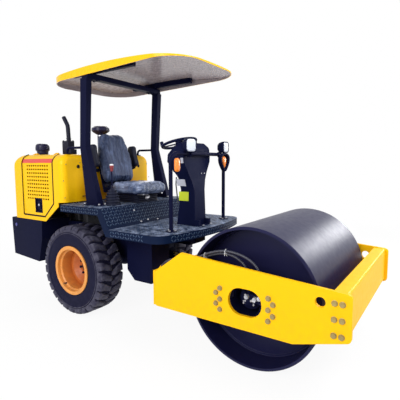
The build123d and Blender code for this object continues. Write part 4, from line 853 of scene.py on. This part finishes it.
for hand, side in (("right", -1), ("left", 1)):
    door, flip, out = "hood_door_" + hand, (1, side, 1), (0, side, 0)
    run = np.linspace(door_rear + 0.0015, door_front - 0.0015, 3)
    stripe = np.stack(np.broadcast_arrays(run[:, None], side * band[:, 0], band[:, 1]), -1)
    skin("door_stripe_" + hand, [capped(stripe, stripe.mean(1))], stripe_red, "rim_paint", door, crease=50.0)
    seal = [drawn(np.multiply(front_seam, flip), bead, (0, side, 0.02))]
    seal.append(drawn(np.multiply(rear_seam, flip), bead, (1, 0, 0)))
    skin("door_seal_" + hand, seal, seal_rubber, "black_rubber", door, crease=40.0)
    foam_at = (door_rear + 0.264, side * (hood_side - 0.036), 1.243)
    skin("door_foam_" + hand, [placed(foam, foam_at, out)], foam_brown, "black_rubber", door)
    latch = (door_rear + 0.272, side * hood_side, 0.997)
    forms = [(recess, 0, -25.5, 0), (wall, 0, 0, 0), (paddle, 0, -22, 0)] + lip
    forms = [placed(form, beside(latch, (x, side * y, z)), out) for form, x, y, z in forms]
    skin("door_latch_" + hand, forms, chassis_black, "black_plastic", door)
    keyhole = placed(lock, beside(latch, (0, side * -2.4, 6)), out)
    skin("door_lock_" + hand, [keyhole], key_steel, "rod_chrome", door)

# Front wall of the hood, behind the seat: dome screws, a rubber grommet round the wiring
# hole, and a pull rod each side.
wall_foot = (hood_high.x, 0, 0)
screws = [(0, side * y, z) for side in (-1, 1) for y, z in ((610, 1260), (600, 1094), (575, 1420), (410, 1435))]
button = turned(((0, 8.5), (2, 8.5), (4.5, 6), (5.5, 0)), 16)
skin("hood_screws", [placed(button * 0.75, beside(wall_foot, screws), (1, 0, 0))], zinc_yellow, "rod_chrome")
grommet = (turned(hoop(12, 5.0, 14.0), 28), turned(((0, 12), (1.5, 12), (2, 0)), 24))
holes = beside(wall_foot, ((0, -432, 1397), (0, 432, 1397)))
trim = [placed(form, hole, (1, 0, 0)) for hole in holes for form in grommet]
pull = (
    (1, 388, 1097), (20, 386, 1098), (24, 378, 1099), (25, 350, 1103),
    (24, 318, 1108), (20, 310, 1109), (1, 308, 1110),
)
trim += [drawn(beside(wall_foot, np.multiply(pull, (1, side, 1))), ngon(10, 4.5)) for side in (-1, 1)]
skin("hood_grommets_and_rods", trim, seal_rubber, "black_rubber", crease=50.0)

# Engine: a three-cylinder diesel of painted castings on the frame's cross-members: ribbed
# block, head and rocker cover, manifolds, injection pump and steel fuel lines, oil filters,
# flywheel housing, and a fan and belt in front of the radiator.
engine_low, engine_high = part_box("engine_block")
engine_grey = finish(
    "engine_grey", (0.055, 0.058, 0.070), 0.50, 0.15, Mottle=0.7, Dust=0.45, Dust_Height=1.6,
    Grime=(0.10, 0.085, 0.07), Metallic=0.2,
)
sump = (engine_low.x, 0, engine_low.z)
long = (engine_high.x - engine_low.x) / mm


def block(low, high, radius=12.0, edge=5.0):
    """A cast block between two corners, in steps from the sump's rear foot, round in plan and
    eased at its top and bottom."""
    wide, deep, tall = np.subtract(high, low)[[1, 0, 2]]
    return placed(plate(wide, deep, radius, tall, edge), beside(sump, (*np.add(low, high)[:2] / 2, low[2])))


def on_engine(form, steps, along=(0, 0, 1), up=(0, 0, 1)):
    """A form placed at steps from the sump's rear foot."""
    return placed(form, beside(sump, steps), along, up)


cast = [
    block((30, -150, 0), (long - 90, 150, 110), 20),
    block((45, -120, 105), (long - 100, 120, 330), 30),
    block((40, -130, 328), (long - 95, 130, 430), 15),
    block((60, -90, 428), (long - 120, 90, 520), 30, 20),
    block((long - 100, -185, 20), (long - 12, 185, 380), 20),
    block((310, -195, 150), (420, -118, 290), 20),
]
cast += [block((75 + 55 * k, -134, 125), (90 + 55 * k, 134, 310), 4, 3) for k in range(7)]
cast.append(on_engine(turned(((0, 30), (18, 30), (22, 24))), (long / 2 - 50, 0, 519)))
canister = turned(((0, 30), (6, 38), (12, 38), (112, 38), (118, 34), (120, 0)), 30)
for side in (-1, 1):
    pipe = ((70, side * 160, 385), (250, side * 166, 390), (long - 130, side * 160, 395))
    cast.append(drawn(beside(sump, pipe), ngon(16, 27.0)))
    for x in (110, 240, 370):
        cast.append(drawn(beside(sump, ((x, side * 125, 375), (x, side * 162, 387))), ngon(14, 21.0)))
    cast.append(on_engine(canister, (200, side * 172, 215), (0, 0, -1)))
    cast.append(on_engine(nut * 0.6, [(75 + 85 * k, side * 118, 429) for k in range(5)]))
skin("engine_castings", cast, engine_grey, "engine_paint", replaces=("engine_block",))
pulley = turned(((0, 62), (6, 66), (12, 56), (18, 66), (24, 62)), 40)
turning = [
    on_engine(pulley * (1, size, size), (22, y, z), (-1, 0, 0))
    for size, y, z in ((1.0, 0, 100), (0.8, 0, 330), (0.55, 145, 260))
]
blade, blade_pitch = plate(70, 130, 25, 4, 1), 0.45
for z, y in ngon(7, 1.0):
    twisted = (-cos(blade_pitch), -sin(blade_pitch) * z, sin(blade_pitch) * y)
    turning.append(on_engine(blade, (-16, 115 * y, 330 + 115 * z), twisted, (0, y, z)))
turning.append(on_engine(turned(((0, 55), (20, 55), (26, 45)), 30), (-2, 0, 330), (-1, 0, 0)))
belt_line = beside(sump, [(10, 30 + 118 * y, 225 + 175 * z) for y, z in ngon(60, 1.0)])
turning.append(drawn(belt_line, rounded(10, 7, 2, 2), (1, 0, 0), closed=True))
skin("engine_fan_and_belt", turning, seal_rubber, "black_rubber")
radiator = [block((-75, -230, -10), (-40, 230, 540), 6)]
radiator += [block((-80, -226, 20 + 12.5 * k), (-35, 226, 22.5 + 12.5 * k), 2, 0.8) for k in range(40)]
skin("engine_radiator", radiator, engine_grey, "engine_paint")
share = np.linspace(0, 1, 14)[:, None]
lines = []
for k in range(3):
    start, end = np.array((330 + 35 * k, -155, 288)), np.array((110 + 130 * k, -100, 445))
    steps = start * (1 - share) + end * share + (0, -45, 50) * np.sin(pi * share)
    lines.append(drawn(beside(sump, steps), ngon(8, 3.5), (0.3, 1, 0.1)))
skin("engine_fuel_lines", lines, bright_zinc, "rod_chrome")

# Seat: foam cushion and back in black vinyl, pulled over a pressed pan and still in their clear
# protective film, which lies in long drawn folds. The film's lighter streaks are partly its milky
# tone and partly painted highlights on its folds.
film, given, place, result = surface_group(
    "film_with_crest_highlights", ("Colour", "Color", (0.1, 0.1, 0.1, 1)), ("Crest", "Color", (0.5, 0.5, 0.6, 1)),
    ("Stretch", "Vector", (30.0, 30.0, 4.0)), ("Roughness", "Float", 0.25),
)
drawn_out = wire(film, "VectorMath", {0: place["Object"], 1: given["Stretch"]}, operation="MULTIPLY").outputs[0]
broad = ramp(film, noise(film, drawn_out, 1.0, Detail=4.0, Distortion=0.8), 0.35, 0.68)
fine = ramp(film, noise(film, drawn_out, 3.4, Detail=3.0, Distortion=1.5), 0.40, 0.70)
ridges = sums(film, "ADD", sums(film, "MULTIPLY", broad, 0.7), sums(film, "MULTIPLY", fine, 0.3))
# Painted highlights: the Crest colour on the noise crests stands in for light on the film's folds, over its
# milky tone.
crest_highlight = sums(film, "POWER", ridges, 1.8)
film.links.new(blended(film, crest_highlight, given["Colour"], given["Crest"]), result["Colour"])
film.links.new(sums(film, "ADD", given["Roughness"], sums(film, "MULTIPLY", ridges, 0.18)), result["Roughness"])
film.links.new(ridges, result["Height"])
film_back = finish(
    "film_over_back", (0.024, 0.036, 0.084), 0.36, 2.0, film, Crest=(0.125, 0.170, 0.310),
    Stretch=(30.0, 30.0, 3.6), Coat_Roughness=0.30, Specular_IOR_Level=0.25,
)
film_cushion = finish(
    "film_over_cushion", (0.045, 0.070, 0.145), 0.28, 3.0, film, Crest=(0.430, 0.510, 0.740),
    Stretch=(9.0, 17.0, 26.0), Coat_Weight=0.2, Coat_Roughness=0.18,
)


def swollen(name, grids, voxel, cap, fold):
    """A filled pad: the closed form is remeshed, blown up by cloth pressure without gravity,
    held to within a cap of where each point began, and drawn into folds, which fold gives
    in metres for every point."""
    start = skin(name, grids, film_back, "seat_vinyl")
    remesh = start.modifiers.new("remesh", "REMESH")
    remesh.mode = "VOXEL"
    remesh.voxel_size = voxel
    graph = bpy.context.evaluated_depsgraph_get()
    mesh = bpy.data.meshes.new_from_object(start.evaluated_get(graph))
    bpy.data.objects.remove(start)
    body = linked(name + "_sim", mesh)
    cloth = body.modifiers.new("cloth", "CLOTH").settings
    cloth.use_pressure = True
    cloth.uniform_pressure_force = 4
    cloth.effector_weights.gravity = 0
    for step in range(1, 21):
        bpy.context.scene.frame_set(step)
    blown = bpy.data.meshes.new_from_object(body.evaluated_get(bpy.context.evaluated_depsgraph_get()))
    bpy.context.scene.frame_set(1)
    rest = numbers(mesh.vertices)
    step = numbers(blown.vertices) - rest
    step *= np.minimum(1, cap / np.maximum(np.linalg.norm(step, axis=1, keepdims=True), 1e-9))
    mesh.vertices.foreach_set("co", (rest + step).ravel())
    bpy.data.objects.remove(body)
    mesh.update()
    places = numbers(mesh.vertices)
    places += fold(places)[:, None] * numbers(mesh.vertex_normals, "vector")
    mesh.vertices.foreach_set("co", places.ravel())
    mesh.update()
    return mesh


def creases(values, seed):
    """Fold height from several rounded waves of random pitch, strength and phase."""
    rng = np.random.default_rng(seed)
    total = 0
    for pitch_share in (1.0, 1.7, 2.9):
        wave = np.sin(values * pitch_share * (0.9 + 0.2 * rng.random()) + rng.random() * 6)
        total = total + (1 - 2 * np.abs(wave) ** 0.7) / pitch_share
    return total


def fold_cushion(p):
    """Folds that run across the cushion, bending on their way, and die out at its underside."""
    waves = creases(34 * (p[:, 1] + 0.35 * p[:, 0]) + 3 * np.sin(9 * p[:, 0]), 4)
    return 0.0030 * waves * np.clip((p[:, 2] - cushion_low.z) / 0.05, 0, 1)


cushion_low, cushion_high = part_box("seat_cushion")
middle = (cushion_low + cushion_high) / 2
deep, wide, _ = np.array(cushion_high - cushion_low) / mm
start_form = pad(rounded(wide - 4, deep + 2, 80, 8), (
    (3, 1, 30), (10, 1, 8), (24, 1, 0), (66, 1, 2), (80, 1, 14), (88, 1, 45), (94, 0.55, 0), (96, 0, 0),
))
start_form = placed(start_form, (middle.x + 0.012, middle.y, cushion_low.z))
pad_mesh = swollen("cushion_start", [start_form], 0.006, 0.016, fold_cushion)
smooth = {"crease": 180.0, "modifiers": (("SUBSURF", {"levels": 1, "render_levels": 1}),)}
cushion = hold(
    "seat_cushion_filled", pad_mesh, film_cushion, "seat_vinyl", replaces=("seat_cushion",), **smooth,
)

rake = radians(14)
back_up = np.array((-sin(rake), 0, cos(rake)))
back_in = np.array((-cos(rake), 0, -sin(rake)))
back_foot = np.array((drum_x - 1.831, 0, deck_top + 0.194))
back_middle = 270.0


def at_back(across, up, behind):
    """Places in steps from the back's foot: to the right, up the rake and behind it."""
    return back_foot + mm * (np.array((0, -across, 0)) + up * back_up + behind * back_in)


def fold_back(p):
    """Folds that run up the back, wandering with height, and die out behind it."""
    up, behind = (p - back_foot) @ back_up, (p - back_foot) @ back_in
    waves = creases(64 * p[:, 1] + 1.6 * np.sin(6 * up + 5 * p[:, 1]), 9)
    return 0.0013 * waves * np.clip(-behind / 0.045 + 1.3, 0, 1)


height = np.linspace(4, 545, 28)
half = np.interp(
    height, (0, 35, 100, 230, 320, 430, 500, 530, 545), (165, 198, 216, 228, 220, 192, 166, 144, 105),
)
shape = np.concatenate([np.stack([-half, height], -1), np.stack([half, height], -1)[::-1]]) - (0, back_middle)
start_form = pad(shape, (
    (-10, 0.78, 0), (-6, 0.92, 0), (8, 0.975, 0), (36, 1, 0), (70, 0.985, 0), (84, 0.95, 0), (88, 0.80, 0),
))
start_form = placed(start_form, at_back(0, back_middle, 0), back_in, back_up)
back_mesh = swollen("back_start", [start_form], 0.006, 0.020, fold_back)
back = hold("seat_back_filled", back_mesh, film_back, "seat_vinyl", replaces=("seat_back",), **smooth)

# Armrests: integral-skin foam pads in black, folded up beside the back and carried by flat
# steel arms on a bar behind it.
seat_black = finish(
    "seat_black", (0.008, 0.010, 0.026), 0.42, 0.25, Mottle=0.4, Dust=0.1, Dust_Height=0.3, Grain=700.0,
    Specular_IOR_Level=0.2,
)
dress(chassis_black, "seat_frame")
run = np.linspace(0, 1, 14)
swell = (0.55 + 0.45 * np.clip(np.sin(pi * np.clip(run * 0.96 + 0.02, 0, 1)) * 3.2, 0, 1))[:, None, None]
rests = []
for side in (-1, 1):
    line = [at_back(side * 284, 175 + 235 * t, 30 + 12 * sin(pi * t)) for t in run]
    rests.append(drawn(line, rounded(58, 104, 22) * swell, back_in))
    arm = ((284, 172, 45), (284, 166, 100), (276, 160, 114), (240, 160, 117.5))
    arm = [at_back(side * across, up, behind) for across, up, behind in arm]
    rests.append(drawn(arm, rounded(30, 14, 4), (0, 1, 0.2)))
rests.append(drawn([at_back(-250, 160, 112), at_back(250, 160, 112)], rounded(36, 14, 4), back_in))
skin("armrests_moulded", rests, seat_black, "seat_vinyl", replaces=("armrests",), crease=50.0)
knob = turned(((0, 16), (4, 20), (20, 20), (24, 16)), 20)
knobs = [placed(knob, (drum_x - 1.83, side * 0.205, deck_top + 0.165), (0, side, 0)) for side in (-1, 1)]
skin("recline_knobs", knobs, seat_black, "black_plastic")

# Suspension: a moulded rubber bellows in five folds over the scissor frame, clamped under the
# seat's pan, with two zinc slide rails and the lever that frees them.
low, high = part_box("seat_suspension")
deep, wide, tall = np.array(high - low) / mm
folds = 5
level = np.linspace(0, 1, folds * 8 + 1)
squeeze = 1 - (15 - 12 * np.abs(np.sin(level * pi * folds)) ** 0.6) / 165
bellows = pad(rounded(wide, deep, 35), np.stack([tall * level, squeeze, 0 * level], -1))
bellows = placed(bellows, ((low.x + high.x) / 2, 0, low.z))
skin("seat_bellows", [bellows], seat_black, "black_rubber", replaces=("seat_suspension",), crease=60.0)
rail_ends = (cushion_low.x + 0.05, cushion_high.x - 0.02)
slide = [drawn([(x, y, cushion_low.z - 0.014) for x in rail_ends], rounded(22, 12, 2)) for y in (-0.14, 0.14)]
handle = ((-50, -110, -16), (10, -112, -18), (35, -118, -24), (60, -150, -34), (64, -185, -36))
handle = beside((cushion_high.x, 0, cushion_low.z), handle)
tip = placed(turned(((-16, 8), (-8, 13), (8, 13), (16, 8)), 18), handle[-1], (0, -1, 0))
skin("seat_slides", slide + [drawn(handle, ngon(10, 5.5)), tip], bright_zinc, "rod_chrome")


# Travel lever: a moulded red grip with a white cap, screwed on a steel rod that stands in a
# ribbed rubber boot.
def under(node):
    """The middle of the underside of a node's box."""
    low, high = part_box(node)
    return np.array(((low.x + high.x) / 2, (low.y + high.y) / 2, low.z))


foot = under("travel_lever")
level = np.linspace(0, 1, 61)
boot = np.stack([158 * level, 76 - 30 * level - 30 * level**6 + 5.5 * np.sin(level * pi * 12)], -1)
boot = placed(turned(np.concatenate([boot, [(159, 0)]]), 36), foot)
skin("lever_boot", [boot], seat_black, "black_rubber", replaces=("travel_lever",), crease=60.0)
grip_red = finish("grip_red", (0.20, 0.006, 0.014), 0.25, 0.02, Mottle=0.2, Dust=0.1, Coat_Weight=0.5)
rod = drawn(beside(foot, ((0, 0, 100), (0, 0, 330))), ngon(14, 6.0), (1, 0, 0))
skin("lever_rod", [rod], chassis_black, "black_paint")
grip = turned(((318, 11), (326, 14), (345, 16.5), (366, 19.5), (374, 19.5), (376, 18)), 30)
skin("lever_grip", [placed(grip, foot)], grip_red, "rim_paint")
cap = turned(((375.5, 19.5), (380, 19.5), (386, 15), (388.5, 7), (389, 0)), 30)
skin("lever_cap", [placed(cap, foot)], tie_plastic, "canopy_moulding")

# Console: a rotation-moulded plastic shell on a folded steel foot, its edges rounded by the
# mould, with three blank plates, rocker switches and two gauges by the wheel.
# Its blue specular tint is a painted blue cast on its reflections.
console_black = finish(
    "console_black", (0.005, 0.007, 0.030), 0.46, 0.20, Mottle=0.4, Dust=0.05, Dust_Height=0.2,
    Grime=(0.03, 0.035, 0.07), Grain=900.0, Specular_IOR_Level=0.04, Specular_Tint=(0.76, 0.80, 1.0),
)
edge = {
    "width": 0.007, "segments": 3, "limit_method": "ANGLE", "angle_limit": radians(32), "harden_normals": True,
}
console_mesh = bpy.data.meshes.new("console_merged")
joined_up(frame["nodes"]["console"].data, console_mesh, 1e-5, flatten=1.0)
hold(
    "console_moulded", console_mesh, console_black, "black_plastic", replaces=("console",), crease=40.0,
    modifiers=(("BEVEL", edge),),
)
dress(console_black, "steering_wheel")
dress(chassis_black, "steering_column")
console_low, console_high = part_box("console")
console_foot, console_front = (console_low.x, 0, floor_top), (console_high.x, 0, floor_top)
blank_white = finish("blank_white", (0.52, 0.53, 0.60), 0.35, 0.01, Mottle=0.25, Dust=0.15)
blank_lime = finish("blank_lime", (0.53, 0.62, 0.012), 0.35, 0.01, Mottle=0.1, Dust=0.1)
plate_rows = (
    (100, 66, 78, 400, -0.34, blank_white),
    (110, 84, 92, 268, 0.02, blank_lime),
    (28, 46, 168, 600, -0.15, blank_white),
)
for index, (width, height, ahead, up, lean, paint) in enumerate(plate_rows):
    deep = np.interp(up, (0, 326, 416, 586, 646), (90.3, 82.3, 110.3, 208.3, 214.3))
    at = beside(console_foot, (ahead, 15.5 - deep, up))
    sign = placed(plate(height, width, 4, 17.5, 0.4), at, (0, -1, lean), (1, 0, 0))
    skin("blank_plate_%d" % (index + 1), [sign], paint, "canopy_moulding")
hub, wheel_up = joints["steering_wheel_turn"]["pos_m"], joints["steering_wheel_turn"]["axis"]
cap = turned(((19.8, 31), (24, 31), (30, 26), (33, 12), (33.5, 0)), 36)
cap = placed(cap, hub, wheel_up, (0, 1, 0))
skin("wheel_centre_cap", [cap], seal_rubber, "black_plastic", "steering_wheel")
boot = ((-75, 58), (-62, 56), (-50, 40), (-44, 43), (-38, 34), (-32, 37), (-26, 28), (-24, 0))
skin("column_boot", [placed(turned(boot, 36), hub, wheel_up, (0, 1, 0))], seal_rubber, "black_rubber")
rocker = pad(rounded(32, 20, 3), ((0, 1, 0), (8, 1, 0), (10, 1, 2)))
gauge_ring = turned(((0, 30), (10, 30), (12, 27), (12, 24), (8, 23)), 36)
rockers = [(-6, y, 622) for y in (-155, -115, 115, 155)]
dash = [placed(rocker, beside(console_foot, rockers), (-1, 0, -0.05))]
gauges = beside(console_foot, ((26, -110, 716), (26, 110, 716)))
dash.append(placed(gauge_ring, gauges, (-0.63, 0, 0.78), (0, 1, 0)))
skin("dash_switches", dash, seal_rubber, "black_plastic")
foot_bolts = placed(bolt_head * 0.6, beside(console_front, ((26, -62, 7.5), (26, 62, 7.5))))
buttons = placed(button * 0.6, beside(console_front, ((-37, 1, 480), (-37, 50, 480))), (1, 0, 0))
skin("console_bolts", [foot_bolts, buttons], bright_zinc, "rod_chrome")
conduit = beside(console_foot, ((20, -100, 445), (12, -98, 380), (18, -96, 320), (30, -93, 200)))
skin("wiring_conduit", [drawn(conduit, ngon(10, 6.0), (0, 1, 0))], guard_rubber, "hose_rubber")

# Lamps: two work lamps in square plastic housings on the bent tube, each behind a ribbed
# glass, and the direction indicators: an amber bar on the right, an amber drop in its shroud
# on the left.
dress(chassis_black, "lamp_frame")
frame_low, frame_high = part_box("lamp_frame")
bar = (frame_low.x + 0.048, 0, frame_high.z - 0.017)
lamp_outline = rounded(98, 112, 30, 8)
housing = pad(lamp_outline, (
    (-34, 0.42, 0), (-30, 0.58, 0), (-12, 0.82, 0), (10, 0.94, 0), (30, 1, 0),
    (52, 1, 0), (57, 1, 2), (58, 1, 4), (52, 1, 6), (40, 1, 7),
))
lens_form = pad(lamp_outline, (
    (41, 1, 6.5), (50, 1, 6.8), (55, 1, 12), (58, 0.66, 0), (59.5, 0.36, 0), (60, 0, 0),
))
lens_glass = finish(
    "lens_glass", (0.66, 0.70, 0.78), 0.10, 0.6, Mottle=0.15, Dust=0.12, Grain=160.0, Coat_Weight=0.8,
    Coat_Roughness=0.05, Emission_Color=(0.85, 0.90, 1.0), Emission_Strength=0.02,
)
clamp = np.insert(ngon(8, 20.5, 0.2), 1, 0, axis=1)
shells, glasses, mounts = [], [], []
for y, foot_y, aim, size in ((-186, -170, -24, 1.12), (385, 350, -2, 1.0)):
    facing = (*on_circle(1.0, radians(aim)), 0)
    shells.append(placed(housing * size, beside(bar, (2, y, 71)), facing))
    glasses.append(placed(lens_form * size, beside(bar, (2, y, 71)), facing))
    arm = ((0, foot_y, 16), (-4, (y + foot_y) / 2, 26), (-4, y, 21), (-4, y, 36))
    mounts.append(drawn(beside(bar, arm), rounded(26, 6, 2, 3), (1, 0, 0)))
    mounts.append(drawn(beside(bar, clamp + (0, foot_y, 0)), rounded(26, 4, 1, 2), (0, 1, 0), closed=True))
    mounts.append(placed(bolt_head * 0.5, beside(bar, (0, foot_y, 21))))
skin("lamp_housings", shells, console_black, "black_plastic", replaces=("headlamps",), crease=50.0)
skin("lamp_lenses", glasses, lens_glass, "drum_steel", crease=50.0)
skin("lamp_mounts", mounts, chassis_black, "black_paint")
amber = finish(
    "amber_lens", (0.80, 0.205, 0.012), 0.18, 0.5, Mottle=0.1, Dust=0.1, Grain=240.0, Coat_Weight=0.6,
    Coat_Roughness=0.08, Emission_Color=(1.0, 0.30, 0.02), Emission_Strength=0.12,
)
signal_low, signal_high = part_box("indicators")
signal_z = (signal_low.z + signal_high.z) / 2
near_at = (signal_low.x + 0.006, -0.394, signal_z + 0.002)
far_at = (signal_low.x + 0.010, 0.352, signal_z + 0.024)
bar_form = rounded(60, 118, 27, 8)
near_lens = pad(bar_form, ((8, 1, 2), (24, 1, 3), (31, 0.90, 0), (35, 0.62, 0), (36, 0, 0)))
near_base = pad(bar_form * 1.05, ((-4, 1, 0), (9, 1, 0), (11, 1, 2)))
round_it = np.linspace(0, 2 * pi, 41)[:-1]
drop = np.stack([50 * np.sin(round_it) * (0.62 + 0.38 * np.cos(round_it)) ** 0.8, 68 * np.cos(round_it)], -1)
far_lens = pad(drop * (0.95, 0.88), ((15, 1, 0), (30, 0.92, 0), (38, 0.66, 0), (40, 0, 0)))
shroud = pad(drop * (2.20, 1.34), (
    (-10, 0.7, 0), (4, 0.96, 0), (20, 1, 0), (46, 0.98, 0), (46, 0.86, 0), (16, 0.76, 0),
))
near_lens, near_base = (placed(form, near_at, (1, 0, 0)) for form in (near_lens, near_base))
far_lens, shroud = (placed(form, far_at, (1, 0, 0)) for form in (far_lens, shroud))
skin("indicator_right", [near_lens], amber, "amber_lens", replaces=("indicators",), crease=60.0)
skin("indicator_bases", [near_base, shroud], console_black, "black_plastic", crease=50.0)
skin("indicator_left", [far_lens], amber, "amber_lens", crease=60.0)
tube_feet = [(bar[0], side * (frame_high.y - 0.048), floor_top) for side in (-1, 1)]
bolt_steps = [(*at, 7.8) for at in ngon(3, 34.0, 0.8)]
flange_bolts = [placed(bolt_head * 0.5, beside(foot, bolt_steps)) for foot in tube_feet]
skin("lamp_frame_bolts", flange_bolts, bright_zinc, "rod_chrome")

# On the hood: the silencer box with its bent tail pipe in heat-proof black, a mushroom cap on
# the cold-air intake, and a centrifugal pre-cleaner with a clear band under its ribbed lid.
exhaust_black = finish(
    "exhaust_black", (0.010, 0.011, 0.026), 0.55, 0.20, Mottle=0.6, Dust=0.20, Dust_Height=0.3,
    Grime=(0.08, 0.06, 0.05), Grain=300.0, Specular_IOR_Level=0.2,
)
pipe_base = np.array((hood_low.x + 0.670, under("exhaust")[1], hood_top))
box_top = 138.0
can = placed(plate(88, 98, 14, box_top, 3), beside(pipe_base, (10, 0, 0.3)))
guard = placed(plate(80, 50, 8, 52, 3), beside(pipe_base, (70, 0, 0.3)))
bend = np.linspace(0, 1, 9)[:, None]
start, corner, end = np.array(((13.5, 0, 265), (12, 0, 295), (-3, 0, 317)))
curve = (1 - bend) ** 2 * start + 2 * bend * (1 - bend) * corner + bend**2 * end
pipe = drawn(beside(pipe_base, [(25, 0, 80), *curve, (-33.5, 0, 361)]), ngon(28, 21.0), (0, 1, 0))
mouth = turned(((0, 21), (26, 21), (28, 20), (28, 17.8), (6, 17.6)), 28)
mouth = placed(mouth, beside(pipe_base, (-34, 0, 361.7)), (-0.567, 0, 0.824), (0, 1, 0))
collars = []
for across, up in ((18.5, 165), (19.5, 147)):
    ring = [(x + across, y, up) for x, y in ngon(8, 22.5, 0.2)]
    collars.append(drawn(beside(pipe_base, ring), ngon(8, 3.5), closed=True))
box_studs = [(10 + x, y, box_top) for x in (-36, 36) for y in (-31, 31)]
box_studs = placed(bolt_head * 0.5, beside(pipe_base, box_studs))
skin(
    "exhaust_silencer", [can, guard, pipe, mouth, *collars, box_studs], exhaust_black, "exhaust_steel",
    replaces=("exhaust",), crease=40.0,
)
cap_plastic = finish(
    "cap_plastic", (0.012, 0.011, 0.046), 0.24, 0.05, Mottle=0.3, Dust=0.05, Dust_Height=0.3,
    Grime=(0.05, 0.05, 0.09), Specular_IOR_Level=0.25,
)
dress(cap_plastic, "air_precleaner")


def spokes(count, middle, profile, bar):
    """Bars that stand round a middle, each along the same (radius, height) points."""
    return [
        drawn(beside(middle, [(r * x, r * y, h) for r, h in profile]), bar, (-y, x, 0))
        for x, y in ngon(count, 1.0)
    ]


cap_mid, bowl_mid = under("intake_cap"), under("air_precleaner")
cap_profile = [(0, 57), (4, 59), (36, 59), (40, 62.5), (44, 62.5), (48, 70), (52, 71)]
cap_profile += [(94 + 30 * sin(a), 40 + 31 * cos(a)) for a in np.radians(np.linspace(0, 90, 9))]
intake_cap = placed(turned(cap_profile, 64), cap_mid)
skin("intake_cap_moulded", [intake_cap], cap_plastic, "black_plastic", replaces=("intake_cap",), crease=40.0)
ribs = spokes(24, cap_mid, ((70, 50), (70.8, 60), (70.8, 80), (70, 92)), rounded(4, 3, 1, 2))
skin("intake_cap_ribs", ribs, cap_plastic, "black_plastic")
fins = spokes(20, bowl_mid, ((20, 315), (69, 312.5), (94, 295.5)), rounded(3, 4, 1, 2))
fins += spokes(20, bowl_mid, ((40, 226), (69, 242.5), (94.5, 262)), rounded(3, 5, 1, 2))
clear_band = turned(((266, 95.5), (267, 98.5), (278, 99), (279, 95.5), (266, 95.5)), 48)
skin("precleaner_fins", fins + [placed(clear_band, bowl_mid)], cap_plastic, "black_plastic")
strap = np.array([(0, 35.5), (0, 38.5), (12, 38.5), (12, 35.5), (0, 35.5)])
clamps = [placed(turned(strap + (h, 0), 32), bowl_mid) for h in (12, 205)]
skin("precleaner_clamps", clamps, bright_zinc, "rod_chrome")
